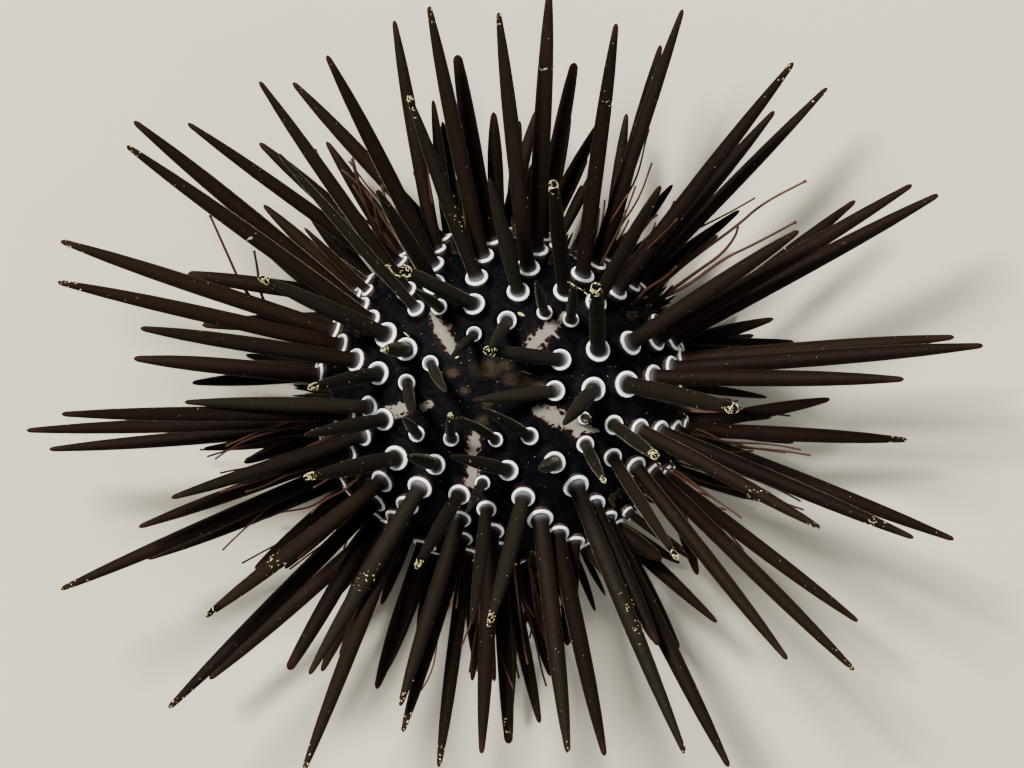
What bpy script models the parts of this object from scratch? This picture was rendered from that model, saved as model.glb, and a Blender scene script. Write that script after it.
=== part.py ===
"""A rock-boring sea urchin with white rings at the roots of its spines, life size, on its mouth side.

The test (the round shell) is parted along its meridians into five ambulacra and five
interambulacra. Each carries two or three columns of spines, fused to it. The apical disc closes
the top and the peristome, with the tips of the teeth, closes the mouth.
Metres, +Z up, floor at z = 0, origin under the middle of the whole animal.
"""

import math
import random

import bmesh
import bpy
import numpy as np
from mathutils import Matrix, Vector

MM = 0.001
SEAM = 0.3 * MM

# Test
TEST_LENGTH = 43.0 * MM
TEST_WIDTH = 38.2 * MM
WIDEST_LEVEL = 13.5 * MM
CROWN_HEIGHT = 12.5 * MM
BASE_DEPTH = 9.5 * MM
BASE_FULLNESS = 0.8
APEX_OFFSET = Vector((-2.4 * MM, 1.2 * MM))
MOUTH_OFFSET = Vector((-0.8 * MM, 0.4 * MM))

# Teeth
TEETH = 5
TEETH_TOP = 1.9 * MM
TEETH_END = 0.5 * MM
TEETH_HEIGHT = 1.9 * MM

# Angles down the test, in degrees: 0 at the apex, 90 at the widest level, 180 at the mouth
APICAL_EDGE = 11
PERISTOME_EDGE = 158
SECTOR_LEVELS = (12, 22, 34, 46, 58, 70, 80, 90, 101, 113, 126, 141, 157)
SECTOR_STEPS = 4
LAST_ROW = 146
COLUMN_TOP = 20
COLUMN_RIM = 90
MOST_TURN_SHARE = 1.4
NODE_SPAN = 36

# The core, as shares of the radius: where the sectors end, and the plugs inside them
CORE_SHARE = 0.55
PLUG_SHARE = 0.86
PLUG_STEP = 24
APICAL_PLUG_END = 0.35
PERISTOME_PLUG_END = 0.6

# Each column of spines: its compass heading at the top and at the widest level,
# then the angle down the test of its first row, and the step from row to row
COLUMNS = {
    "A": (98, 82, 20, 12.2), "B": (68.5, 68, 25.5, 12.6),
    "C": (50, 45, 33.5, 12.2), "D": (37.5, 33, 37, 12.6),
    "E": (18.5, 12.5, 25, 13), "F": (-4, 9, 21, 12),
    "G": (-18.5, -11.5, 31.5, 10.4), "H": (-30.5, -25, 36, 11.2),
    "I": (-46, -47, 21, 11.9), "J": (-75, -55, 18, 11.2),
    "K": (-91.5, -80, 33.5, 10.8), "L": (-105.5, -91.5, 40, 10.8),
    "M": (-120, -124, 21, 11.5), "N": (-146, -126, 28.5, 12.8),
    "O": (-167, -144, 38, 11.3), "P": (-172, -164, 43, 11.3),
    "Q": (-180, -205, 27, 12.4), "R": (-203.5, -217, 20.5, 11.3),
    "S": (-226, -238, 41, 11), "T": (-237, -257, 36, 11.2),
    "U": (-180, -184, 78, 12.5), "V": (-118, -108, 78, 12.5),
}

# The pose: where the spines of each column end as seen from above, from its first row down,
# in mm to the right of the middle of the test and above it, judged by eye to half a millimetre
TIPS = {
    "A": [(-6, 4.5), (-12, 15), (-11, 35.5), (-8.5, 46), (-5.5, 40.5), (-1, 34)],
    "B": [(-1.5, 5.5), (-1.5, 25.5), (0, 45.5), (5.5, 48), (8.5, 39.5)],
    "C": [(4, 13.5), (6, 25), (13.5, 44), (21.5, 46), (19, 42), (15, 34)],
    "D": [(8.5, 13.5), (18.5, 24.5), (34.5, 39.5), (32.5, 34), (39, 37)],
    "E": [(-2, 5.5), (11, 13), (35, 19.5), (48.5, 25), (52, 24), (42.5, 23.5)],
    "F": [(-3.5, -0.5), (7.5, -3.5), (27.5, -1.5), (47.5, 2), (57, 6), (54, 7), (33, 5.5)],
    "G": [(10, -2.5), (18, -7), (37.5, -15.5), (49, -16.5), (53.5, -17), (48.5, -5.5), (39.5, -0.5)],
    "H": [(12, -10), (20.5, -19), (34, -31), (41.5, -32.5), (42.5, -27), (23.5, -21.5)],
    "I": [(-2, -1.5), (4.5, -8.5), (21.5, -42), (18.5, -29.5), (27, -44), (19, -19.5)],
    "J": [(-5, -2.5), (-6, -7), (-1.5, -27), (8, -42), (12, -43.5), (4.5, -29.5)],
    "K": [(-4, -13.5), (-3.5, -26.5), (-2, -42.5), (1, -41), (4.5, -38.5)],
    "L": [(-10, -20), (-12, -36.5), (-11.5, -40), (-7.5, -44), (-3.5, -31.5)],
    "M": [(-6, -2), (-11, -7), (-22.5, -33), (-24, -44), (-19, -31)],
    "N": [(-11.5, -2.5), (-23, -9.5), (-35, -26), (-39.5, -37), (-25, -33), (-34.5, -35)],
    "O": [(-23, -4.5), (-39, -12), (-43, -15.5), (-52.5, -23), (-42.5, -19.5)],
    "P": [(-37.5, -1), (-52, -2), (-56, -4), (-54, -6), (-31, -8)],
    "Q": [(-10.5, -2), (-22.5, 1), (-42.5, 8), (-52.5, 13.5), (-52.5, 18.5), (-36, 8.5)],
    "R": [(-6.5, 0.5), (-14, 5.5), (-28.5, 14), (-44, 29.5), (-43.5, 32.5), (-37.5, 14.5)],
    "S": [(-26, 29), (-29, 37), (-37, 32), (-29, 30)],
    "T": [(-10, 12.5), (-14.5, 24), (-20.5, 40.5), (-13, 44.5), (-25, 37.5)],
    "U": [(-44, 4.5)],
    "V": [(-15, -35)],
}

# Node of each pair or three of columns, going round from the top of the plan with the clock
NODES = (
    ("interambulacrum_back", "A", "B"), ("ambulacrum_back_right", "C", "D"),
    ("interambulacrum_right", "E", "F"), ("ambulacrum_right", "G", "H"),
    ("interambulacrum_front_right", "I", "J"), ("ambulacrum_front", "K", "L"),
    ("interambulacrum_front_left", "V", "M", "N"), ("ambulacrum_left", "O", "P"),
    ("interambulacrum_left", "U", "Q", "R"), ("ambulacrum_back_left", "S", "T"),
)
SEAM_SHARE = 0.6

# Spines: by angle down the test, pairs of (angle, value)
CROWN_LIMIT = 50
VISIBLE_LIMIT = 76
STANDING_LIMIT = 124
CROWN_LENGTH = ((18, 11), (30, 14), (45, 23), (65, 33))
HIDDEN_LENGTH = ((70, 21), (85, 16.5), (100, 14), (124, 11.5))
RISE_BY_ANGLE = ((36, 30), (50, 24), (60, 17), (70, 10), (80, 4), (90, -3), (100, -9), (124, -24))
STANDING_RISE = ((124, -38), (146, -68))
LEAST_CROWN_RISE = 18
GIRTH_BY_ANGLE = ((18, 0.68), (30, 0.86), (45, 1.0), (80, 1.0), (110, 0.8), (146, 0.6))
AMBULACRAL_GIRTH = 0.9
# Girths of spines that differ from the rest of their row, judged by eye
OWN_GIRTH = {
    "A0": 0.6, "A2": 0.9, "C0": 0.62, "D0": 0.65, "E0": 0.84, "F0": 0.8, "G0": 0.5, "G1": 0.78,
    "H0": 0.7, "H1": 0.76, "I0": 0.7, "I2": 1.04, "J0": 0.58, "J1": 0.82, "K0": 0.6, "K1": 0.78,
    "M0": 0.62, "N0": 0.64, "Q0": 0.68, "R0": 0.64, "S0": 0.7, "T0": 0.66,
}
SHAFT_RADIUS = 1.02 * MM
KNOB_RADIUS = 1.15
RING_RADIUS = 1.45
NECK_RADIUS = 0.86
BELLY_RADIUS = 0.98
SHOULDER_RADIUS = 0.7
TIP_RADIUS = 0.38
BELLY_PLACE = 0.42
SHOULDER_PLACE = 0.84
RING_HEIGHT = 0.45 * MM
RING_TILT = 0.4
NECK_HEIGHT = 1.1 * MM
JOINT_HEIGHT = 0.75 * MM
ROOT_DEPTH = 1.5 * MM
HEADING_JITTER = 9
RISE_JITTER = 3
LENGTH_JITTER = 0.1
GIRTH_JITTER = 0.06
STANDING_JITTER_SHARE = 0.5
SEED = 11

# Smaller spines beside some columns: on which side, how many degrees off, between which
# angles down the test, and their size as a share of a whole one
SMALL_SIDES = {"A": 1, "B": -1, "E": 1, "F": -1, "I": 1, "J": -1, "N": -1, "R": -1}
SMALL_TURN = 6.3
SMALL_SPAN = (66, 104)
SMALL_SHARE = 0.52

# Room kept between neighbouring spines, and how they are turned to get it
CLEARANCE = 0.42 * MM
PLAN_HOLD = 0.25
ROOT_SHARE = 0.02
LEAST_LEVER = 0.3
LARGEST_MOVE = 0.8 * MM
LOWEST_TIP = 0.9 * MM
SETTLING_STEPS = 400

# Facets round a spine with a ring and round a plain one
COLLARED_SIDES = 6
PLAIN_SIDES = 5

# Colour and roughness by kind of piece
LOOKS = {
    "ambulacrum": ((0.012, 0.010, 0.010, 1.0), 0.6),
    "interambulacrum": ((0.020, 0.015, 0.012, 1.0), 0.6),
    "apical": ((0.030, 0.022, 0.020, 1.0), 0.6),
    "peristome": ((0.080, 0.045, 0.035, 1.0), 0.7),
    "teeth": ((0.620, 0.600, 0.520, 1.0), 0.3),
}


def by_angle(table, angle):
    """Value at an angle down the test, read along a short table."""
    return float(np.interp(angle, [row[0] for row in table], [row[1] for row in table]))


def unit(azimuth):
    """Plan direction of a compass heading in degrees."""
    return Vector((math.cos(math.radians(azimuth)), math.sin(math.radians(azimuth))))


def rim_point(azimuth):
    """Point of the widest outline that lies in this direction from the apex."""
    way = unit(azimuth)
    a = (way.x / TEST_LENGTH) ** 2 + (way.y / TEST_WIDTH) ** 2
    b = 2 * (APEX_OFFSET.x * way.x / TEST_LENGTH ** 2 + APEX_OFFSET.y * way.y / TEST_WIDTH ** 2)
    c = (APEX_OFFSET.x / TEST_LENGTH) ** 2 + (APEX_OFFSET.y / TEST_WIDTH) ** 2 - 1 / 4
    return APEX_OFFSET + way * ((-b + math.sqrt(b * b - 4 * a * c)) / (2 * a))


def test_point(azimuth, angle):
    """Point on the test."""
    slope = math.radians(angle)
    if angle <= 90:
        middle, spread = APEX_OFFSET, math.sin(slope)
        height = CROWN_HEIGHT * math.cos(slope)
    else:
        middle, spread = MOUTH_OFFSET, math.sin(slope) ** BASE_FULLNESS
        height = -BASE_DEPTH * abs(math.cos(slope)) ** BASE_FULLNESS
    plan = middle + (rim_point(azimuth) - middle) * spread
    return Vector((plan.x, plan.y, WIDEST_LEVEL + height))


def test_normal(azimuth, angle):
    """Outward normal of the test."""
    down = test_point(azimuth, angle + 0.5) - test_point(azimuth, angle - 0.5)
    along = test_point(azimuth + 0.5, angle) - test_point(azimuth - 0.5, angle)
    return down.cross(along).normalized()


def column_heading(column, angle):
    """Compass heading of a column at an angle down the test."""
    top, rim, _, _ = COLUMNS[column]
    share = (max(angle, COLUMN_TOP) - COLUMN_TOP) / (COLUMN_RIM - COLUMN_TOP)
    return top + (rim - top) * min(share, MOST_TURN_SHARE)


def seam_heading(index, angle):
    """Compass heading of the seam between a node and the one after it."""
    last = NODES[index % len(NODES)][-1]
    first = NODES[(index + 1) % len(NODES)][1]
    here = column_heading(last, angle)
    there = column_heading(first, angle)
    there += 360 * round((here - there) / 360)
    share = SEAM_SHARE if index % 2 == 0 else 1 - SEAM_SHARE
    return here + (there - here) * share


class Spine:
    """One spine: its root on the test, its joint, its tip and its girth."""

    def __init__(self, node, column, row, angle, draw, aside=0):
        self.node = node
        self.name = f"{column}{row}"
        self.angle = angle
        self.small = aside != 0
        azimuth = column_heading(column, angle) + aside
        self.root = test_point(azimuth, angle)
        self.normal = test_normal(azimuth, angle)
        self.girth = by_angle(GIRTH_BY_ANGLE, angle) * (1 + GIRTH_JITTER * draw.uniform(-1, 1))
        if node.startswith("ambulacrum"):
            self.girth *= AMBULACRAL_GIRTH
        if self.small:
            self.girth *= SMALL_SHARE
        else:
            self.girth = OWN_GIRTH.get(self.name, self.girth)
        self.joint = self.root + self.normal * JOINT_HEIGHT
        self.stands = angle > STANDING_LIMIT
        self.posed = not self.small and row < len(TIPS[column])
        jitter = draw.uniform(-1, 1), draw.uniform(-1, 1), draw.uniform(-1, 1)
        if self.posed:
            self.tip = self.posed_tip(Vector(TIPS[column][row]) * MM, jitter)
        else:
            self.tip = self.natural_tip(azimuth, jitter)

    def posed_tip(self, place, jitter):
        """Tip of a spine that ends at a known place in the plan, with its rise from its row."""
        reach = (place - self.joint.xy).length
        if self.angle < CROWN_LIMIT:
            length = by_angle(CROWN_LENGTH, self.angle) * MM
            rise = math.degrees(math.acos(min(1.0, reach / length)))
            rise = max(rise, LEAST_CROWN_RISE)
        else:
            rise = by_angle(RISE_BY_ANGLE, self.angle) + RISE_JITTER * jitter[1]
        return Vector((place.x, place.y, self.joint.z + reach * math.tan(math.radians(rise))))

    def natural_tip(self, azimuth, jitter):
        """Tip of a spine that follows the test, shorter and lower towards the mouth."""
        if self.stands:
            rise = math.radians(by_angle(STANDING_RISE, self.angle))
            length = self.joint.z / -math.sin(rise)
            heading = azimuth + HEADING_JITTER * STANDING_JITTER_SHARE * jitter[0]
        else:
            rise = math.radians(by_angle(RISE_BY_ANGLE, self.angle) + RISE_JITTER * jitter[1])
            length = by_angle(HIDDEN_LENGTH, self.angle) * MM * (1 + LENGTH_JITTER * jitter[2])
            length *= SMALL_SHARE if self.small else 1
            heading = azimuth + HEADING_JITTER * jitter[0]
        way = unit(heading) * math.cos(rise)
        tip = self.joint + Vector((way.x, way.y, math.sin(rise))) * length
        if not self.stands:
            tip.z = max(tip.z, LOWEST_TIP)
        return tip


def small_spines(node, column, draw):
    """Smaller spines beside a column, one between each two of its rows."""
    if column not in SMALL_SIDES:
        return []
    first, step = COLUMNS[column][2:]
    aside = SMALL_SIDES[column] * SMALL_TURN
    rows = int((LAST_ROW - first) / step)
    angles = [first + step * (row + 0.5) for row in range(rows)]
    angles = [angle for angle in angles if SMALL_SPAN[0] < angle < SMALL_SPAN[1]]
    return [Spine(node, column, 0, angle, draw, aside) for angle in angles]


def all_spines():
    """Every spine of the animal, in the order of its columns and rows."""
    draw = random.Random(SEED)
    spines = []
    for node, *columns in NODES:
        for column in columns:
            first, step = COLUMNS[column][2:]
            rows = int((LAST_ROW - first) / step) + 1
            spines += [Spine(node, column, row, first + step * row, draw) for row in range(rows)]
            spines += small_spines(node, column, draw)
    return spines


def closest_places(starts, ways):
    """Shares along each pair of segments where the pair comes closest."""
    count = len(starts)
    first, second = np.triu_indices(count, 1)
    p, q = ways[first], ways[second]
    between = starts[first] - starts[second]
    pp, qq, pq = (p * p).sum(1), (q * q).sum(1), (p * q).sum(1)
    pb, qb = (p * between).sum(1), (q * between).sum(1)
    even = np.maximum(pp * qq - pq * pq, 1e-16)
    s = np.clip((pq * qb - qq * pb) / even, 0, 1)
    t = np.clip((pq * s + qb) / qq, 0, 1)
    s = np.clip((pq * t - pb) / pp, 0, 1)
    return first, second, s, t


def thickness(share, lengths, girths):
    """Radius of each spine at a share of its length."""
    places = (BELLY_PLACE, SHOULDER_PLACE, 1)
    shaft = SHAFT_RADIUS * girths * np.interp(share, places, (BELLY_RADIUS, SHOULDER_RADIUS, TIP_RADIUS))
    ring = SHAFT_RADIUS * RING_RADIUS * girths
    return np.where(share * lengths < NECK_HEIGHT, ring, shaft)


def settle(spines):
    """Turn spines that come too close apart, mostly up and down, until all are clear."""
    starts = np.array([spine.joint for spine in spines])
    tips = np.array([spine.tip for spine in spines])
    girths = np.array([spine.girth for spine in spines])
    posed = np.array([spine.posed for spine in spines])
    stands = np.array([spine.stands for spine in spines])
    hold = np.where(posed[:, None], (PLAN_HOLD, PLAN_HOLD, 1.0), (1.0, 1.0, 1.0))
    for _ in range(SETTLING_STEPS):
        ways = tips - starts
        lengths = np.linalg.norm(ways, axis=1)
        first, second, s, t = closest_places(starts, ways)
        apart = starts[first] + ways[first] * s[:, None] - starts[second] - ways[second] * t[:, None]
        distance = np.maximum(np.linalg.norm(apart, axis=1), 1e-7)
        need = thickness(s, lengths[first], girths[first]) + thickness(t, lengths[second], girths[second])
        short = need + CLEARANCE - distance
        tight = (short > 0) & (np.maximum(s, t) > ROOT_SHARE)
        if not tight.any():
            break
        push = apart[tight] / distance[tight, None] * (short[tight, None] * 0.5)
        move = np.zeros_like(tips)
        np.add.at(move, first[tight], push / np.maximum(s[tight, None], LEAST_LEVER))
        np.add.at(move, second[tight], -push / np.maximum(t[tight, None], LEAST_LEVER))
        tips += np.clip(move * hold, -LARGEST_MOVE, LARGEST_MOVE)
        tips[:, 2] = np.where(stands, 0.0, np.maximum(tips[:, 2], LOWEST_TIP))
    for spine, tip in zip(spines, tips):
        spine.tip = Vector(tip)


def link(mesh, name, collection):
    """New object of a mesh, in a collection."""
    piece = bpy.data.objects.new(name, mesh)
    collection.objects.link(piece)
    return piece


def turned_template(name, rings, sides):
    """Turned body with one ring of points at each whole height from 0, closed at both ends."""
    outline = bpy.data.meshes.new(name)
    heights = list(range(rings - 1, -1, -1))
    points = [(0, 0, heights[0])] + [(1, 0, height) for height in heights] + [(0, 0, heights[-1])]
    outline.from_pydata(points, [(i, i + 1) for i in range(len(points) - 1)], [])
    turned = link(outline, name, bpy.context.scene.collection)
    screw = turned.modifiers.new("turn", "SCREW")
    screw.steps = screw.render_steps = sides
    screw.use_merge_vertices = True
    screw.merge_threshold = 0.0001
    evaluated = turned.evaluated_get(bpy.context.evaluated_depsgraph_get())
    mesh = bpy.data.meshes.new_from_object(evaluated)
    bpy.data.objects.remove(turned)
    return mesh


def spine_rings(spine, collared):
    """Centre, radius and turn of each ring of a spine, from its root in the test to its tip."""
    way = spine.tip - spine.joint
    length = way.length
    axis = way / length
    upright = Vector((0, 0, 1)).rotation_difference(spine.normal).to_matrix()
    leaning = spine.normal.rotation_difference(axis).to_matrix() @ upright
    tilted = upright.to_quaternion().slerp(leaning.to_quaternion(), RING_TILT).to_matrix()
    radius = SHAFT_RADIUS * spine.girth
    rings = [(spine.root - spine.normal * ROOT_DEPTH, radius * NECK_RADIUS, upright)]
    if collared:
        rings.append((spine.joint, radius * KNOB_RADIUS, tilted))
        rings.append((spine.joint + axis * RING_HEIGHT, radius * RING_RADIUS, tilted))
        rings.append((spine.joint + axis * NECK_HEIGHT, radius * NECK_RADIUS, leaning))
        rings.append((spine.joint + way * BELLY_PLACE, radius * BELLY_RADIUS, leaning))
    else:
        rings.append((spine.joint, radius, tilted))
    rings.append((spine.joint + way * SHOULDER_PLACE, radius * SHOULDER_RADIUS, leaning))
    rings.append((spine.tip, radius * TIP_RADIUS, leaning))
    return rings


def make_templates(spines):
    """Bodies to bend into spines: with a ring at the base, and plain."""
    templates = {}
    for collared, sides in ((True, COLLARED_SIDES), (False, PLAIN_SIDES)):
        rings = len(spine_rings(spines[0], collared))
        templates[collared] = turned_template("template", rings, sides)
    return templates


def make_spine(spine, templates, collection):
    """Mesh of one spine, from the template with the rings that it needs."""
    collared = spine.angle < VISIBLE_LIMIT and not spine.small
    mesh = templates[collared].copy()
    rings = spine_rings(spine, collared)
    axis = (spine.tip - spine.joint).normalized()
    for vertex in mesh.vertices:
        place = round(vertex.co.z)
        centre, radius, turn = rings[place]
        point = centre + turn @ Vector((vertex.co.x * radius, vertex.co.y * radius, 0))
        if spine.stands and place == len(rings) - 1:
            point -= axis * (point.z / axis.z)
        vertex.co = point
    return link(mesh, "spine", collection)


def loft(loops, name):
    """Closed body through loops of as many points each, with flat ends fanned from their middles."""
    shape = bmesh.new()
    rows = [[shape.verts.new(point) for point in loop] for loop in loops]
    count = len(rows[0])
    for upper, lower in zip(rows, rows[1:]):
        for i in range(count):
            j = (i + 1) % count
            shape.faces.new((upper[i], lower[i], lower[j], upper[j]))
    shape.faces.new(rows[0])
    shape.faces.new(list(reversed(rows[-1])))
    bmesh.ops.triangulate(shape, faces=shape.faces[:])
    bmesh.ops.recalc_face_normals(shape, faces=shape.faces[:])
    if shape.calc_volume(signed=True) < 0:
        bmesh.ops.reverse_faces(shape, faces=shape.faces[:])
    mesh = bpy.data.meshes.new(name)
    shape.to_mesh(mesh)
    shape.free()
    return mesh


def core_point(heading, share, side_shift):
    """Point of the inner wall, which runs from under the apical disc to the peristome."""
    top = test_point(heading, APICAL_EDGE + 1)
    bottom = test_point(heading, PERISTOME_EDGE - 1)
    point = top.lerp(bottom, share)
    middle = Vector((*APEX_OFFSET.lerp(MOUTH_OFFSET, share), point.z))
    point = middle + (point - middle) * CORE_SHARE
    return point + side_shift


def seam_side(index, angle, share, away):
    """Points of the test and of the core at a seam, set back from it by half its width."""
    heading = seam_heading(index, angle)
    sideways = Vector((*unit(heading + 90 * away), 0)) * (SEAM / 2)
    outer = test_point(heading, angle) + sideways
    inner = core_point(heading, share, sideways)
    return outer, inner


def sector_mesh(index, name):
    """Wedge of the test between two seams, solid up to the core."""
    loops = []
    top, bottom = SECTOR_LEVELS[0], SECTOR_LEVELS[-1]
    for angle in SECTOR_LEVELS:
        share = (angle - top) / (bottom - top)
        first_outer, first_inner = seam_side(index - 1, angle, share, -1)
        last_outer, last_inner = seam_side(index, angle, share, 1)
        start = seam_heading(index - 1, angle)
        end = seam_heading(index, angle)
        end += 360 * round((start - end - NODE_SPAN) / 360)
        loop = [first_inner, first_outer]
        for step in range(1, SECTOR_STEPS):
            loop.append(test_point(start + (end - start) * step / SECTOR_STEPS, angle))
        loop += [last_outer, last_inner]
        loops.append(loop)
    return loft(loops, name)


def plug_mesh(edge, pole, start, end, name):
    """Cap of the test inside an edge, with a plug that fills the core from one share to another."""
    headings = range(0, 360, PLUG_STEP)
    loops = [[test_point(heading, angle) for heading in headings] for angle in ((edge + pole) / 2, edge)]
    for share in (start, end):
        middle = APEX_OFFSET.lerp(MOUTH_OFFSET, share)
        walls = [core_point(heading, share, Vector((0, 0, 0))) for heading in headings]
        loops.append([Vector((*middle, wall.z)).lerp(wall, PLUG_SHARE) for wall in walls])
    return loft(loops, name)


def teeth_mesh(name):
    """Tips of the five teeth, closed to one point under the mouth."""
    shape = bmesh.new()
    size = {"radius1": TEETH_END, "radius2": TEETH_TOP, "depth": TEETH_HEIGHT}
    bmesh.ops.create_cone(shape, cap_ends=True, segments=TEETH, **size)
    centre = Vector((*MOUTH_OFFSET, WIDEST_LEVEL - BASE_DEPTH - SEAM - TEETH_HEIGHT / 2))
    bmesh.ops.translate(shape, verts=shape.verts[:], vec=centre)
    mesh = bpy.data.meshes.new(name)
    shape.to_mesh(mesh)
    shape.free()
    return mesh


def keep_largest(mesh):
    """Drop every closed surface of a mesh but the largest."""
    shape = bmesh.new()
    shape.from_mesh(mesh)
    left = set(shape.faces)
    groups = []
    while left:
        group = {left.pop()}
        edge = list(group)
        while edge:
            near = {other for face in edge for line in face.edges for other in line.link_faces}
            edge = list(near & left)
            left -= near
            group |= set(edge)
        groups.append(group)
    largest = max(groups, key=lambda group: sum(face.calc_area() for face in group))
    loose = [face for face in shape.faces if face not in largest]
    bmesh.ops.delete(shape, geom=loose, context="FACES")
    shape.to_mesh(mesh)
    shape.free()


def join_spines(sector, spines, templates):
    """Fuse spines to a sector with one union."""
    pieces = bpy.data.collections.new("spines to join")
    bpy.context.scene.collection.children.link(pieces)
    for spine in spines:
        make_spine(spine, templates, pieces)
    union = sector.modifiers.new("spines", "BOOLEAN")
    union.operation = "UNION"
    union.operand_type = "COLLECTION"
    union.collection = pieces
    union.solver = "MANIFOLD"
    evaluated = sector.evaluated_get(bpy.context.evaluated_depsgraph_get())
    joined = bpy.data.meshes.new_from_object(evaluated)
    sector.modifiers.clear()
    sector.data = joined
    for piece in list(pieces.objects):
        bpy.data.objects.remove(piece)
    bpy.data.collections.remove(pieces)
    keep_largest(joined)


def give_look(part):
    """Give a piece the plain material of its kind."""
    colour, roughness = LOOKS[part.name.split("_")[0]]
    made = bpy.data.materials.new(part.name)
    made.use_nodes = True
    shader = made.node_tree.nodes["Principled BSDF"]
    shader.inputs["Base Color"].default_value = colour
    shader.inputs["Roughness"].default_value = roughness
    shader.inputs["Metallic"].default_value = 0.0
    part.data.materials.clear()
    part.data.materials.append(made)


def centre_over_origin(parts):
    """Move all the pieces together, so that the middle of their common box is over the origin."""
    corners = np.array([part.matrix_world @ vertex.co for part in parts for vertex in part.data.vertices])
    middle = (corners.min(axis=0) + corners.max(axis=0)) / 2
    shift = Matrix.Translation((-middle[0], -middle[1], 0))
    for part in parts:
        part.data.transform(shift)


def build():
    """Make the whole urchin."""
    for leftover in list(bpy.data.objects):
        bpy.data.objects.remove(leftover)
    urchin = bpy.data.collections.new("white spot urchin")
    bpy.context.scene.collection.children.link(urchin)
    spines = all_spines()
    settle(spines)
    templates = make_templates(spines)
    parts = []
    for index, (name, *_) in enumerate(NODES):
        sector = link(sector_mesh(index, name), name, urchin)
        join_spines(sector, [spine for spine in spines if spine.node == name], templates)
        parts.append(sector)
    parts.append(link(plug_mesh(APICAL_EDGE, 0, 0, APICAL_PLUG_END, "apical disc"), "apical_disc", urchin))
    mouth = plug_mesh(PERISTOME_EDGE, 180, 1, PERISTOME_PLUG_END, "peristome")
    parts.append(link(mouth, "peristome", urchin))
    parts.append(link(teeth_mesh("teeth"), "teeth", urchin))
    for part in parts:
        give_look(part)
    centre_over_origin(parts)


build()
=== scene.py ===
"""The looks of the white-ringed rock-boring urchin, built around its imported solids.

One skin stands for the ten sectors, the apical disc and the peristome. The spines repeat the
solids' plan, from the same named sizes, with their white milled rings, and between them come
short spines, tube feet and grains of sediment.
"""

import math
import random

import bpy
import numpy as np
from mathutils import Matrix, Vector


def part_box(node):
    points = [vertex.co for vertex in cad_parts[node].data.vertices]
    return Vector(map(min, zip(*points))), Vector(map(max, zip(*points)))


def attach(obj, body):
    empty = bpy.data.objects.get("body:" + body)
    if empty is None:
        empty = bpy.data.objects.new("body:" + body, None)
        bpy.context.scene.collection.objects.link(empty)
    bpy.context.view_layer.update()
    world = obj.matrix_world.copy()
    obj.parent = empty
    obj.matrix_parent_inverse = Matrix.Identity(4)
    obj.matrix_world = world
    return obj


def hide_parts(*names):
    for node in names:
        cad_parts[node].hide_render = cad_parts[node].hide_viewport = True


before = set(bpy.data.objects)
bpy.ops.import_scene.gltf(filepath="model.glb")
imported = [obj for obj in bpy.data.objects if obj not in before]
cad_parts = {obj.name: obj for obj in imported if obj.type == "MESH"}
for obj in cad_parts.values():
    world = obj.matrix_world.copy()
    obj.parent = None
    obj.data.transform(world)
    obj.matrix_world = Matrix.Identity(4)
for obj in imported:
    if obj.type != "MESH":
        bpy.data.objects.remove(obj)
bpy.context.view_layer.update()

MM = 0.001

# Test, as in the solids
TEST_LENGTH = 43.0 * MM
TEST_WIDTH = 38.2 * MM
WIDEST_LEVEL = 13.5 * MM
CROWN_HEIGHT = 12.5 * MM
BASE_DEPTH = 9.5 * MM
BASE_FULLNESS = 0.8
APEX_OFFSET = np.array((-2.4 * MM, 1.2 * MM))
MOUTH_OFFSET = np.array((-0.8 * MM, 0.4 * MM))

# Angles down the test, in degrees: 0 at the apex, 90 at the widest level, 180 at the mouth
PERISTOME_EDGE = 158
LAST_ROW = 146
COLUMN_TOP = 20
COLUMN_RIM = 90
MOST_TURN_SHARE = 1.4

# Each column of spines: its compass heading at the top and at the widest level,
# then the angle down the test of its first row, and the step from row to row
COLUMNS = {
    "A": (98, 82, 20, 12.2), "B": (68.5, 68, 25.5, 12.6),
    "C": (50, 45, 33.5, 12.2), "D": (37.5, 33, 37, 12.6),
    "E": (18.5, 12.5, 25, 13), "F": (-4, 9, 21, 12),
    "G": (-18.5, -11.5, 31.5, 10.4), "H": (-30.5, -25, 36, 11.2),
    "I": (-46, -47, 21, 11.9), "J": (-75, -55, 18, 11.2),
    "K": (-91.5, -80, 33.5, 10.8), "L": (-105.5, -91.5, 40, 10.8),
    "M": (-120, -124, 21, 11.5), "N": (-146, -126, 28.5, 12.8),
    "O": (-167, -144, 38, 11.3), "P": (-172, -164, 43, 11.3),
    "Q": (-180, -205, 27, 12.4), "R": (-203.5, -217, 20.5, 11.3),
    "S": (-226, -238, 41, 11), "T": (-237, -257, 36, 11.2),
    "U": (-180, -184, 78, 12.5), "V": (-118, -108, 78, 12.5),
}

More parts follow.
